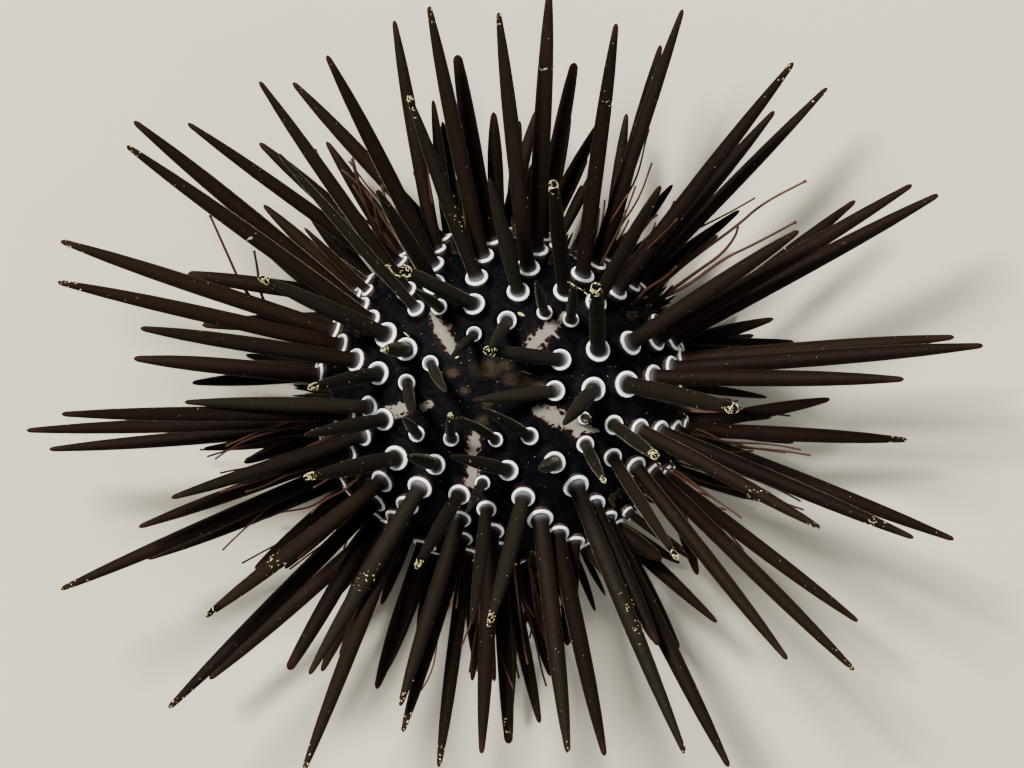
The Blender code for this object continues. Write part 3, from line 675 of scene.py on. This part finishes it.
def frames_along(spine, share):
    """Three directions, along and across a spine, that turn with share from its base to its shaft."""
    normal = np.array(spine.normal)
    axis = np.array((spine.tip - spine.joint).normalized())
    ways = normalised(normal + (axis - normal) * np.asarray(share)[:, None])
    fixed = np.cross(normal, axis)
    if np.linalg.norm(fixed) < LEAST_LEAN:
        fixed = np.cross(SPARE_WAY, axis)
    fixed = normalised(fixed)
    sideways = normalised(fixed - ways * (ways @ fixed)[:, None])
    return ways, sideways, np.cross(ways, sideways)


def shaft_radius(spine, reach, length):
    """Radius of a fine shaft at distances from its joint: those of the crown are more pointed."""
    blunt = spine.name in BLUNT
    share = np.clip(reach / length * (BLUNT_END if blunt else 1.0), 0, 1)
    pointed = 0 if blunt else along(POINTED, spine.angle)
    pointed = pointed if spine.posed else LOWER_POINTEDNESS
    stout = along(SHAFT_PROFILE, share)
    return (stout + (along(CROWN_PROFILE, share) - stout) * pointed) * SHAFT_RADIUS * spine.girth


def tip_cap(back):
    """Share of its radius that a rounded tip has at a distance back from its end."""
    return np.sqrt(1 - np.clip(1 - back / TIP_ROUNDING, 0, MOST_CAP) ** 2)


def shaft_stations(length):
    """Distances from the joint at which a shaft has its rings, closer at both ends."""
    end = length - TIP_ROUNDING * np.array(TIP_STATIONS)
    middle = np.linspace(MIDDLE_START, end[0], MIDDLE_STATIONS + 1)[:-1]
    return np.concatenate((np.array(FOOT_STATIONS) * MM, middle, end))


def add_shaft(piece, spine, patch, draw):
    """Fine shaft of one spine, from inside its ring to its rounded tip."""
    way = spine.tip - spine.joint
    length = way.length
    reach = shaft_stations(length)
    radius = shaft_radius(spine, reach, length) * along(FLARE, reach) * tip_cap(length - reach)
    _, sideways, upward = frames_along(spine, along(BEND, reach))
    bow = draw.uniform(-LARGEST_BOW, LARGEST_BOW) * np.sin(np.pi * (reach / length).clip(0, 1))
    centres = np.array(spine.joint) + np.array(way / length) * reach[:, None] + sideways * bow[:, None]
    piece.tube(
        centres, sideways, upward, radius, SPINE_SIDES if spine.posed else HIDDEN_SIDES, patch,
        reach=reach / MM,
        left=(length - reach) / MM,
        crown=along(OLIVE, spine.angle),
        tone=draw.random(),
        line=(reach - GROWTH_LINES.get(spine.name, -1) * length) / MM,
        dark=draw.uniform(*DARK_END) if spine.name in DUSTED and spine.posed else UNWORN,
    )


def add_ring(piece, spine, patch, draw):
    """White milled ring round the base of one spine, with the lip of skin outside it."""
    sides = UPPER_RING_SIDES if spine.angle < VISIBLE_LIMIT else LOWER_RING_SIDES
    # The last column, how far inside the opening a point lies, sets the painted shade there
    spread, height, white, inside = np.array(RING_PROFILE).T
    ways, sideways, upward = frames_along(spine, np.full(len(spread), RING_LEAN))
    turn = np.arange(sides) * 2 * np.pi / sides
    waves = np.sin(turn * round(sides / 3)) + np.sin(turn * 3 + draw.uniform(0, 6))
    radii = spread[:, None] + RING_WAVE * waves * (white > WHITE_FROM)[:, None]
    centres = np.array(spine.joint) + ways * height[:, None] * MM
    radii = radii * SHAFT_RADIUS * spine.girth
    tone = draw.random()
    piece.tube(centres, sideways, upward, radii, sides, patch, white=white, inside=inside, tone=tone)


def make_bodies(name, spines, add, draw, material):
    """One piece with a body for each of some spines."""
    piece = Piece(name)
    for spine, patch in zip(spines, cells(len(spines))):
        add(piece, spine, patch, draw)
    piece.make(material)


def make_spines(spines, material):
    """Fine shafts, one piece for each node."""
    draw = random.Random(SEEDS["shafts"])
    for name, *_ in NODES:
        own = [spine for spine in spines if spine.node == name]
        make_bodies(f"spines_{name}", own, add_shaft, draw, material)


def make_rings(spines, material):
    """Milled rings, in two pieces: above and below the limit of what shows from above."""
    draw = random.Random(SEEDS["rings"])
    for name, upper in (("milled_rings_upper", True), ("milled_rings_lower", False)):
        own = [spine for spine in spines if (spine.angle < VISIBLE_LIMIT) == upper]
        make_bodies(name, own, add_ring, draw, material)


def smooth_step(value, low, high):
    """Rise from 0 to 1 between two limits."""
    share = np.clip((value - low) / (high - low), 0, 1)
    return share * share * (3 - 2 * share)


def streak_depth(plan, line):
    """How deep in a streak each place lies: 1 on its middle line, 0 at its edge, less outside."""
    best = np.full(len(plan), -1e3)
    for start, end in zip(line, line[1:]):
        foot, way = np.array(start[:2]) * MM, (np.array(end[:2]) - start[:2]) * MM
        share = np.clip(((plan - foot) @ way) / (way @ way), 0, 1)
        half = (start[2] + (end[2] - start[2]) * share) * MM
        off = np.linalg.norm(plan - foot - share[:, None] * way, axis=1)
        best = np.maximum(best, 1 - off / half)
    return best


def raised_skin(points, spines):
    """Height of the skin over the test: a boss round each spine and plates at the apex."""
    height = np.zeros(len(points))
    for spine in spines:
        away = points - np.array(spine.root)
        out = away @ np.array(spine.normal)
        off = np.linalg.norm(away - out[:, None] * np.array(spine.normal), axis=1)
        outer, inner = (share * SHAFT_RADIUS * spine.girth for share in BOSS_RADII)
        boss = smooth_step(-off, -outer, -inner) * BOSS_HEIGHT
        near = np.linalg.norm(away, axis=1) < BOSS_ROOM
        height = np.maximum(height, np.where(near, boss, 0))
    plates = np.zeros(len(points))
    for x, y, *size in PLATES:
        off = np.linalg.norm((points[:, :2] / MM - (x, y)) / size, axis=1)
        plates = np.maximum(plates, np.where(points[:, 2] > WIDEST_LEVEL, smooth_step(-off, -1.0, -0.3), 0))
    return height + plates * PLATE_HEIGHT * (height < 0.1 * MM), plates


def make_skin(spines, material):
    """One closed skin over the whole test, apex to mouth."""
    levels, around = SKIN_GRID
    azimuth = np.arange(around) * 360 / around
    angle = np.append(*(np.linspace(*span, levels // 2) for span in SKIN_SPANS))
    grid_angle, grid_azimuth = (grid.ravel() for grid in np.meshgrid(angle, azimuth, indexing="ij"))
    points = test_point(grid_azimuth, grid_angle)
    height, plates = raised_skin(points, spines)
    streak = np.zeros(len(points))
    for line in STREAKS:
        depth = streak_depth(points[:, :2], line) / 2 + STREAK_EDGE
        streak = np.maximum(streak, np.where(points[:, 2] > WIDEST_LEVEL, depth, 0))
    mouth = smooth_step(grid_angle, *MOUTH_FADE)
    wander = np.sin(np.radians(grid_angle) * 30) * 2
    folds = np.sin(np.radians(grid_azimuth) * FOLDS_ROUND + wander) * FOLD_HEIGHT
    points = points + test_normal(grid_azimuth, grid_angle) * (height + mouth * folds)[:, None]
    row, column = (corner[:, [0, 3, 2, 1]] for corner in grid_corners(levels, around))
    faces = (row * around + column % around).tolist()
    faces += [list(range(around)), list(range((levels - 1) * around, levels * around))[::-1]]
    place = skin_place(column.ravel() * 360 / around, angle[row.ravel()])
    top = skin_place(azimuth, np.full(around, angle[0]))
    bottom = skin_place(azimuth[::-1], np.full(around, angle[-1]))
    mesh = bpy.data.meshes.new("skin")
    mesh.from_pydata(points.tolist(), [], faces)
    values = {"streak": [np.clip(streak, 0, 1)], "plate": [plates], "mouth": [mouth]}
    skin = dress(mesh, {"OFBake": [place, top, bottom]}, values, material)
    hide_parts(*[name for name, *_ in NODES], "apical_disc", "peristome")


def make_short_spines(spines, material):
    """Secondary spines between the long ones, on the flanks and the underside."""
    draw = random.Random(SEEDS["short_spines"])
    roots = np.array([spine.root for spine in spines])
    share, stout = np.array(SHORT_PROFILE).T
    piece = Piece("short_spines")
    for _ in range(SHORT_TRIES):
        azimuth, angle = draw.uniform(0, 360), draw.uniform(SHORT_LENGTH[0][0], SHORT_LENGTH[-1][0])
        place = test_point(azimuth, angle)
        if np.linalg.norm(roots - place, axis=1).min() <= SHORT_ROOM:
            continue
        length = along(SHORT_LENGTH, angle) * draw.uniform(*SHORT_LENGTH_SPREAD) * MM
        lean = np.array([draw.uniform(-SHORT_LEAN, SHORT_LEAN) for _ in range(3)])
        centres = place + normalised(test_normal(azimuth, angle) + lean) * (share * length)[:, None]
        radii = stout * SHORT_RADIUS * draw.uniform(*SHORT_RADIUS_SPREAD)
        if centres[-1, 2] >= LOWEST_SHORT:
            piece.rod(
                centres, radii, 9, patch_at(azimuth, angle),
                reach=share * 10, left=(1 - share) * 10, crown=0.3,
                tone=draw.random(), line=9.0, dark=UNWORN,
            )
    piece.make(material)


def rounded_line(points, rounds):
    """Smooth line from a few points, by cutting the corners a few times."""
    line = np.array(points, float)
    for _ in range(rounds):
        near, far = line[:-1] * 0.75 + line[1:] * 0.25, line[:-1] * 0.25 + line[1:] * 0.75
        cut = np.concatenate((near, far), axis=1).reshape(-1, line.shape[1])
        line = np.concatenate((line[:1], cut, line[-1:]))
    return line


def add_tube_foot(piece, centres, patch, draw, stoutness=1.0):
    """One tube foot along a line, with its sucker at the end."""
    size = along(FOOT_PROFILE, np.linspace(0, 1, len(centres))) * MM * stoutness
    piece.rod(centres, size, 7, patch, tone=draw.random())


def foot_line(azimuth, angle, draw):
    """Line of a tube foot that reaches out from the test, a little waved and curled."""
    normal = test_normal(azimuth, angle)
    length = draw.uniform(*FEET_LENGTH) * MM
    curl, lift = draw.uniform(-FEET_CURL, FEET_CURL), draw.uniform(*FEET_LIFT)
    share = np.linspace(0, 1, 16)[:, None]
    wave = draw.uniform(-FEET_WAVE, FEET_WAVE) * np.sin(share * draw.uniform(*FEET_BENDS))
    up = np.array((0.0, 0.0, 1.0))
    off = normal * share + np.cross(normal, up) * (curl * share ** 2 + wave) + up * (lift * share ** 2)
    return test_point(azimuth, angle) + length * off


def make_tube_feet(material):
    """Thin tube feet of the narrow sectors, the long ones that show, and the stout ones round the mouth."""
    draw = random.Random(SEEDS["tube_feet"])
    piece = Piece("tube_feet")
    for name, *columns in NODES:
        for _ in range(FEET_TO_SECTOR if name.startswith("ambulacrum") else 0):
            angle = draw.uniform(*FEET_SPAN)
            azimuth = column_heading(draw.choice(columns), angle) + draw.uniform(-FEET_TURN, FEET_TURN)
            centres = foot_line(azimuth, angle, draw)
            if centres[:, 2].min() >= LOWEST_FOOT:
                add_tube_foot(piece, centres, patch_at(azimuth, angle), draw)
    for plan in LONG_FEET:
        levels = np.linspace(*LONG_FOOT_LEVELS, len(plan))
        centres = rounded_line(np.column_stack((plan, levels)), 3) * MM
        azimuth = math.degrees(math.atan2(plan[0][1], plan[0][0]))
        add_tube_foot(piece, centres, patch_at(azimuth, COLUMN_RIM), draw, LONG_FOOT_STOUTNESS)
    share = np.linspace(-0.1, 1, 12)[:, None]
    for sector, side in ((sector, side) for sector in range(5) for side in (-1, 1)):
        heading = 72 * sector + BUCCAL_HEADING + BUCCAL_PAIR * side
        out = np.append(unit(heading), 0.0) * BUCCAL_SPREAD
        fall = share ** 2 * out - share * (0, 0, BUCCAL_FALL)
        centres = test_point(heading, BUCCAL_ANGLE) + BUCCAL_LENGTH * fall
        add_tube_foot(piece, centres, patch_at(heading, BUCCAL_ANGLE), draw, BUCCAL_STOUTNESS)
    piece.make(material)


def add_grain(piece, centre, sizes, patch, draw):
    """One angular grain of sediment, its size drawn between two."""
    size = draw.uniform(*sizes) * MM
    spin = normalised(np.array([draw.gauss(0, 1) for _ in range(3)]))
    share, stout = np.array(GRAIN_PROFILE).T
    radii = stout * size * draw.uniform(0.5, 0.9)
    piece.rod(centre + spin * (share * size)[:, None], radii, 4, patch, tone=draw.random())


def add_thread(piece, centres, sizes, patch, draw):
    """Clumpy thread of sediment along a line, its thickness drawn between two."""
    size = draw.uniform(*sizes) * MM
    radii = np.array([draw.uniform(0.5, 1.35) for _ in centres]) * size
    radii[[0, -1]] = size * 0.3
    piece.rod(centres, radii, 5, patch, tone=draw.random())


def dust_lines(draw):
    """Threads over a dusted end, as distances back from it in mm and turns round it."""
    lines = []
    for back in (draw.uniform(1.1, 1.8), draw.uniform(0.35, 0.8)):
        turn = draw.uniform(0, math.tau)
        for _ in range(4):
            reach = draw.uniform(0.5, 1.3)
            turns = turn + np.linspace(0, reach, 8)
            lines.append([(back + 0.12 * math.sin(3 * turn), turn) for turn in turns])
            turn += reach + draw.uniform(0.1, 0.6)
    for _ in range(draw.randint(5, 8)):
        back, turn = draw.uniform(0.1, 1.7), draw.uniform(0, math.tau)
        size, start, reach = draw.uniform(0.12, 0.26), draw.uniform(0, 6.3), draw.uniform(2.5, 5.8)
        bends = start + np.linspace(0, reach, 9)
        lines.append([(back + size * math.cos(bend), turn + size * math.sin(bend) * 2.2) for bend in bends])
    return lines + dust_dashes(draw, 0.0, 1.0, draw.randint(14, 22), 2.2)


def dust_dashes(draw, middle, spread, count, stretch):
    """Short threads strewn round a distance back from the tip, in mm. Stretch is the turn to a mm."""
    lines = []
    for _ in range(count):
        back, turn = abs(middle + draw.gauss(0, spread)), draw.uniform(0, math.tau)
        way, length = draw.uniform(0, math.tau), draw.uniform(0.12, 0.38)
        steps = np.linspace(0, length, 4)
        lines.append([(back + s * math.cos(way), turn + s * math.sin(way) * stretch) for s in steps])
    return lines


def on_shaft(spine, back, turn):
    """Place on the surface of a spine, by the distance back from its tip in mm and the turn round it."""
    way = spine.tip - spine.joint
    length = way.length
    _, sideways, upward = frames_along(spine, (1.0,))
    back = max(back, 0.02) * MM
    out = sideways[0] * math.cos(turn) + upward[0] * math.sin(turn)
    radius = shaft_radius(spine, length - back, length) * tip_cap(back) + SHAFT_GRAIN_LIFT
    return np.array(spine.joint) + np.array(way / length) * (length - back) + out * radius


def dust_on_spine(spine, draw):
    """Lines of the threads that lie on one spine."""
    lines = dust_lines(draw) if spine.name in DUSTED else []
    if spine.name in LIGHTLY_DUSTED:
        lines = dust_dashes(draw, 0.0, 1.5, draw.randint(14, 24), 1.8)
    length = (spine.tip - spine.joint).length / MM
    for share in DUST_PATCHES.get(spine.name, ()):
        lines += dust_dashes(draw, (1 - share) * length, 0.8, draw.randint(26, 36), 0.8)
    return [np.array([on_shaft(spine, back, turn) for back, turn in line]) for line in lines]


def add_strand(piece, spine, patch, draw):
    """Broken strand of sediment that hangs from the end of a spine, with grains along it."""
    plan = rounded_line(STRANDS[spine.name], 2)
    strand = np.array(spine.tip) + np.column_stack((plan, np.full(len(plan), STRAND_LIFT))) * MM
    for start in range(0, len(strand) - 3, 4):
        add_thread(piece, strand[start:start + 4], THREADS["strand"], patch, draw)
    for place in strand:
        stray = np.array([draw.gauss(0, 0.12) for _ in range(3)]) * MM
        add_grain(piece, place + stray, GRAINS["strand"], patch, draw)


def dust_spine(piece, spine, draw):
    """Sediment on one spine: grains strewn along it, and threads and clumps of it over a dusted end."""
    length = (spine.tip - spine.joint).length / MM
    patch = patch_at(spine.azimuth, spine.angle)
    for _ in range(int(length * GRAINS_TO_MM) + draw.randint(0, 7)):
        centre = on_shaft(spine, draw.uniform(0.03, 0.9) * length, draw.uniform(0, math.tau))
        add_grain(piece, centre, GRAINS["shaft"], patch, draw)
    for centres in dust_on_spine(spine, draw):
        add_thread(piece, centres, THREADS["shaft"], patch, draw)
    for _ in range(draw.randint(5, 9) if spine.name in DUSTED else 0):
        centre = on_shaft(spine, abs(draw.gauss(0, 0.9)), draw.uniform(0, math.tau))
        add_grain(piece, centre, GRAINS["clump"], patch, draw)
    if spine.name in STRANDS:
        add_strand(piece, spine, patch, draw)


def add_scrap(piece, x, y, heading, length, width):
    """Scrap of sediment that lies on the crown."""
    off = np.array((x, y)) * MM - APEX_OFFSET
    azimuth = math.degrees(math.atan2(off[1], off[0]))
    rim = np.linalg.norm(rim_point(azimuth) - APEX_OFFSET)
    angle = math.degrees(math.asin(min(1, np.linalg.norm(off) / rim)))
    share, stout = np.array(SCRAP_PROFILE).T
    way = np.append(unit(heading), 0.0) * length / 2 * MM
    centres = test_point(azimuth, angle) + (0, 0, SCRAP_LIFT) + way * share[:, None]
    piece.rod(centres, stout * width / 2 * MM, 6, patch_at(azimuth, angle), tone=0.4)


def make_grains(spines, material):
    """Sediment on the shafts and their ends, and grains and scraps on the skin."""
    draw = random.Random(SEEDS["sediment"])
    piece = Piece("sediment_grains")
    for spine in spines:
        if spine.posed:
            dust_spine(piece, spine, draw)
    for _ in range(SKIN_GRAINS):
        azimuth, angle = draw.uniform(0, 360), draw.uniform(4, 80)
        centre = test_point(azimuth, angle) + test_normal(azimuth, angle) * SKIN_GRAIN_LIFT
        add_grain(piece, centre, GRAINS["skin"], patch_at(azimuth, angle), draw)
    for scrap in SCRAPS:
        add_scrap(piece, *scrap)
    piece.make(material, smooth=False)


def make_teeth(material):
    """Tips of the five teeth, curved plates that meet under the mouth."""
    piece = Piece("teeth_fine")
    low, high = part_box("teeth")
    root = high.z + TOOTH_SINK
    share = np.linspace(0, 1, 8)
    reach = (TOOTH_REACH - TOOTH_BEND * share ** 1.5) * MM
    level = root - (root - low.z) * share
    radii = along(TOOTH_PROFILE, share) * MM
    for index in range(5):
        out = unit(72 * index + TOOTH_HEADING)
        centres = np.column_stack((MOUTH_OFFSET + out * reach[:, None], level))
        sideways = np.tile((-out[1], out[0], 0.0), (8, 1))
        upward = np.tile((out[0], out[1], 0.0), (8, 1)) * TOOTH_THICKNESS
        patch = np.array((0.05 + 0.18 * index, 0.1)), np.array((0.15, 0.8))
        piece.tube(centres, sideways, upward, radii, 12, patch, reach=share)
    teeth = piece.make(material)
    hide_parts("teeth")


# Materials


class Shade:
    """Number or colour that the nodes of a material work out."""

    def __init__(self, tree, socket):
        self.tree = tree
        self.socket = socket

    def math(self, operation, other=0.0):
        """Result of one sum."""
        return put(self.tree, "Math", {0: self, 1: other}, operation=operation)

    def __add__(self, other):
        return self.math("ADD", other)

    def __sub__(self, other):
        return self.math("SUBTRACT", other)

    def __mul__(self, other):
        return self.math("MULTIPLY", other)

    def rise(self, low, high, start=0.0, end=1.0):
        """Value moved from one range to another, smoothly, and held inside it."""
        inputs = {"Value": self, "From Min": low, "From Max": high, "To Min": start, "To Max": end}
        return put(self.tree, "MapRange", inputs, interpolation_type="SMOOTHSTEP")

    def mix(self, first, second):
        """Colour between two, by this share."""
        return put(self.tree, "Mix", {0: self, 6: first, 7: second}, 2, data_type="RGBA")

    def noise(self, scale, detail=3.0, roughness=0.55, output="Fac"):
        """Noise at this place."""
        inputs = {"Vector": self, "Scale": scale, "Detail": detail, "Roughness": roughness}
        return put(self.tree, "TexNoise", inputs, output)

    def cells(self, scale):
        """Distance of this place from the nearest of many strewn points."""
        return put(self.tree, "TexVoronoi", {"Vector": self, "Scale": scale}, "Distance")

    def bump(self, strength, distance):
        """Normal of a surface with this height."""
        return put(self.tree, "Bump", {"Height": self, "Strength": strength, "Distance": distance}, "Normal")


def fill(tree, node, inputs):
    """Give a node its values and links. A colour is three numbers."""
    for key, value in inputs.items():
        if isinstance(value, Shade):
            tree.links.new(value.socket, node.inputs[key])
        else:
            node.inputs[key].default_value = (*value, 1) if isinstance(value, tuple) else value


def put(tree, kind, inputs, output=0, **settings):
    """New node with its settings, values and links, as the shade that it gives."""
    node = tree.nodes.new(f"ShaderNode{kind}")
    for name, value in settings.items():
        setattr(node, name, value)
    fill(tree, node, inputs)
    return Shade(tree, node.outputs[output])


def new_material(name, look):
    """Material whose shader takes what a look works out in its tree."""
    material = bpy.data.materials.new(name)
    material.use_nodes = True
    tree = material.node_tree
    fill(tree, tree.nodes["Principled BSDF"], look(tree))
    return material


def point_value(tree, name):
    """Value stored on the points of the mesh."""
    return put(tree, "Attribute", {}, "Fac", attribute_name=name)


def place_on(tree):
    """Place on the object, in millimetres."""
    return put(tree, "VectorMath", {0: put(tree, "TexCoord", {}, "Object"), 3: 1 / MM}, operation="SCALE")


def ridged(tree, count):
    """So many ridges round a tube, as heights."""
    turn = put(tree, "SeparateXYZ", {0: put(tree, "UVMap", {}, "UV", uv_map="Around")}, "X")
    return (turn * (math.tau * count)).math("SINE")


def streaked_colour(tree, spot, fine, skin):
    """Pale jagged streaks over the colour of the skin, bitten by small round dark spots."""
    depth = (point_value(tree, "streak") - STREAK_EDGE) * 2.0
    wander = put(tree, "VectorMath", {0: spot.noise(1.6, 2.0, 0.5, "Color"), 3: 0.5}, operation="SCALE")
    moved = put(tree, "VectorMath", {0: spot, 1: wander}, operation="ADD")
    bitten = moved.cells(1.5).rise(0.50, 0.40) * depth.rise(0.62, 0.36)
    ragged = depth + fine.rise(0.3, 0.7, -0.12, 0.12) + spot.noise(1.1, 2.0).rise(0.3, 0.7, -0.2, 0.4)
    near = ragged.rise(-0.35, 0.05) * fine.rise(0.42, 0.6) * 0.8
    edge = ragged.rise(0.1, 0.5).mix(*STREAK_PALES)
    pale = spot.noise(5.0).rise(0.35, 0.7, 0.0, 0.5).mix(edge, STREAK_GREY)
    mask = ragged.rise(0.04, 0.2) * (bitten * -1.0 + 1.0)
    return mask.mix(near.mix(skin, STREAK_HALO), pale)


def skin_look(tree):
    """Near-black skin with pale jagged streaks, brownish plates and fine grain."""
    spot = place_on(tree)
    fine = spot.noise(2.6, 4.0)
    dark = spot.noise(0.5, 2.0).rise(0.4, 0.65).mix(*SKIN_DARKS)
    flecked = fine.rise(0.66, 0.82).mix(dark, SKIN_FLECK)
    brown = spot.noise(0.45).rise(0.45, 0.58).mix(*MOUND_BROWNS)
    plate = point_value(tree, "plate") * fine.rise(0.3, 0.6, 0.3, 1.0) * 0.85
    streaked = streaked_colour(tree, spot, fine, plate.mix(flecked, brown))
    membrane = spot.noise(0.9, 5.0).rise(0.35, 0.65).mix(*MEMBRANE_BROWNS)
    return {
        "Base Color": point_value(tree, "mouth").mix(streaked, membrane),
        "Roughness": fine.rise(0.3, 0.7, 0.42, 0.66),
        "Normal": (spot.noise(5.5) + spot.cells(1.1) * -0.8).bump(0.6, 0.00018),
        "Specular IOR Level": 0.03,
    }


def shaft_look(tree):
    """Olive-grey crown shafts and brown-black outer ones, finely ridged, paler at the foot. The crown's
    paler tone and the foot's grey are partly own colour and partly painted light.
    """
    spot = place_on(tree)
    names = ("reach", "left", "crown", "tone", "line", "dark")
    reach, left, crown, tone, line, dark = (point_value(tree, name) for name in names)
    fine = spot.noise(1.6, 4.0)
    # Crown shafts paler than outer ones: partly own colour, partly painted light on the crown and painted
    # shade on the outer spines
    colour = crown.mix(tone.mix(*OUTER_SHAFTS), tone.mix(*CROWN_SHAFTS))
    colour = fine.rise(0.45, 0.75, 0.0, 0.4).mix(colour, SHAFT_MOTTLE)
    colour = (left.rise(3.0, 0.2) * crown.rise(0.0, 1.0, 0.38, 0.05)).mix(colour, SHAFT_TIP)
    # Paler grey at the foot: partly its own colour, partly painted glow of the white ring
    colour = (reach.rise(1.05, 0.3) * crown.rise(0.0, 1.0, 0.35, 0.85)).mix(colour, SHAFT_FOOT)
    colour = (reach.rise(0.7, 0.25) * crown.rise(0.0, 1.0, 0.35, 0.9)).mix(colour, SHAFT_ROOT)
    line = (line + fine.rise(0.3, 0.7, -0.22, 0.22)).math("ABSOLUTE").rise(0.11, 0.04)
    colour = (line * spot.noise(1.1).rise(0.44, 0.54)).mix(colour, GROWTH_PALE)
    worn = dark - left + fine.rise(0.3, 0.7, -0.3, 0.3)
    return {
        "Base Color": (worn.rise(0.0, 0.35) * 0.85).mix(colour, WORN_BLACK),
        "Roughness": fine.rise(0.3, 0.7, 0.52, 0.68),
        "Normal": (ridged(tree, SHAFT_RIDGES) * 0.5 + fine).bump(0.35, 0.00005),
        "Specular IOR Level": 0.035,
        "Sheen Weight": 0.2,
        "Sheen Roughness": 0.16,
        "Sheen Tint": SHAFT_SHEEN,
    }


def ring_look(tree):
    """White milled ring with a brownish lip of skin round it, and painted shade inside its opening."""
    fine = place_on(tree).noise(3.0)
    # Painted shade: the white darkens inside the ring's opening, where shade falls in the recess
    white_with_painted_shade = point_value(tree, "inside").mix(fine.rise(0.3, 0.75).mix(*RING_WHITES), RING_PAINTED_SHADE)
    lip = fine.rise(0.35, 0.65).mix(*LIP_BROWNS)
    edge = point_value(tree, "white") + (fine - 0.5) * 0.3
    return {
        "Base Color": edge.rise(0.38, 0.75).mix(lip, white_with_painted_shade),
        "Normal": ridged(tree, RING_RIDGES).bump(0.3, 0.00006),
        "Roughness": 0.35,
    }


def tube_foot_look(tree):
    """Reddish-brown filaments."""
    colour = point_value(tree, "tone").mix(*TUBE_FOOT_REDS)
    return {"Base Color": colour, "Roughness": 0.55, "Specular IOR Level": 0.08}


def sediment_look(tree):
    """Pale yellowish sediment."""
    colour = point_value(tree, "tone").rise(0.2, 0.9).mix(*SEDIMENT_YELLOWS)
    return {"Base Color": colour, "Roughness": 0.4, "Specular IOR Level": 0.3}


def tooth_look(tree):
    """Off-white enamel, a little yellower towards the root."""
    colour = point_value(tree, "reach").mix(*TOOTH_IVORIES)
    return {"Base Color": colour, "Normal": place_on(tree).noise(6.0).bump(0.2, 0.00005), "Roughness": 0.3}


def floor_look(tree):
    """Plain pale floor."""
    return {"Base Color": FLOOR_COLOUR, "Roughness": 0.85, "Specular IOR Level": 0.1}


# Stage


def make_floor():
    """Large plain floor under the urchin."""
    mesh = bpy.data.meshes.new("floor")
    corners = [(x * FLOOR_REACH, y * FLOOR_REACH, 0) for x, y in ((-1, -1), (1, -1), (1, 1), (-1, 1))]
    mesh.from_pydata(corners, [], [(0, 1, 2, 3)])
    mesh.materials.append(new_material("pale_floor", floor_look))
    add_object("floor", mesh)


def make_light(name, place, size, power, colour):
    """Soft area light aimed at the urchin."""
    data = bpy.data.lights.new(name, "AREA")
    data.shape = "DISK"
    data.size = size
    data.energy = power
    data.color = colour
    light = add_object(name, data)
    light.location = place
    light.rotation_euler = (Vector(LIGHT_AIM) - Vector(place)).to_track_quat("-Z", "Y").to_euler()


def make_world():
    """Soft even light from all round."""
    world = bpy.data.worlds.new("studio")
    world.use_nodes = True
    tree = world.node_tree
    fill(tree, tree.nodes["Background"], {"Color": WORLD_COLOUR, "Strength": WORLD_STRENGTH})
    bpy.context.scene.world = world


def make_camera():
    """Camera straight above, framed as the photograph is."""
    data = bpy.data.cameras.new("camera")
    data.lens = data.sensor_width * CAMERA_HEIGHT / PICTURE_WIDTH
    data.clip_start = 0.01
    camera = add_object("camera", data)
    camera.location = (*(SHIFT + PICTURE_CENTRE), WIDEST_LEVEL + CAMERA_HEIGHT)
    bpy.context.scene.camera = camera


def shift_of_solids():
    """How far the solids were moved so that the origin lies under their middle."""
    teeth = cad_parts["teeth"].data.vertices
    middle = np.mean([vertex.co for vertex in teeth], axis=0)
    return middle[:2] - MOUTH_OFFSET


SHIFT = shift_of_solids()
spines = all_spines()
settle(spines)
shaft = new_material("spine_shaft", shaft_look)
make_skin(spines, new_material("dark_skin", skin_look))
make_spines(spines, shaft)
make_rings(spines, new_material("milled_ring", ring_look))
make_short_spines(spines, shaft)
make_tube_feet(new_material("tube_foot", tube_foot_look))
make_grains(spines, new_material("sediment", sediment_look))
make_teeth(new_material("tooth", tooth_look))
make_floor()
make_world()
for light in LIGHTS:
    make_light(*light)
make_camera()
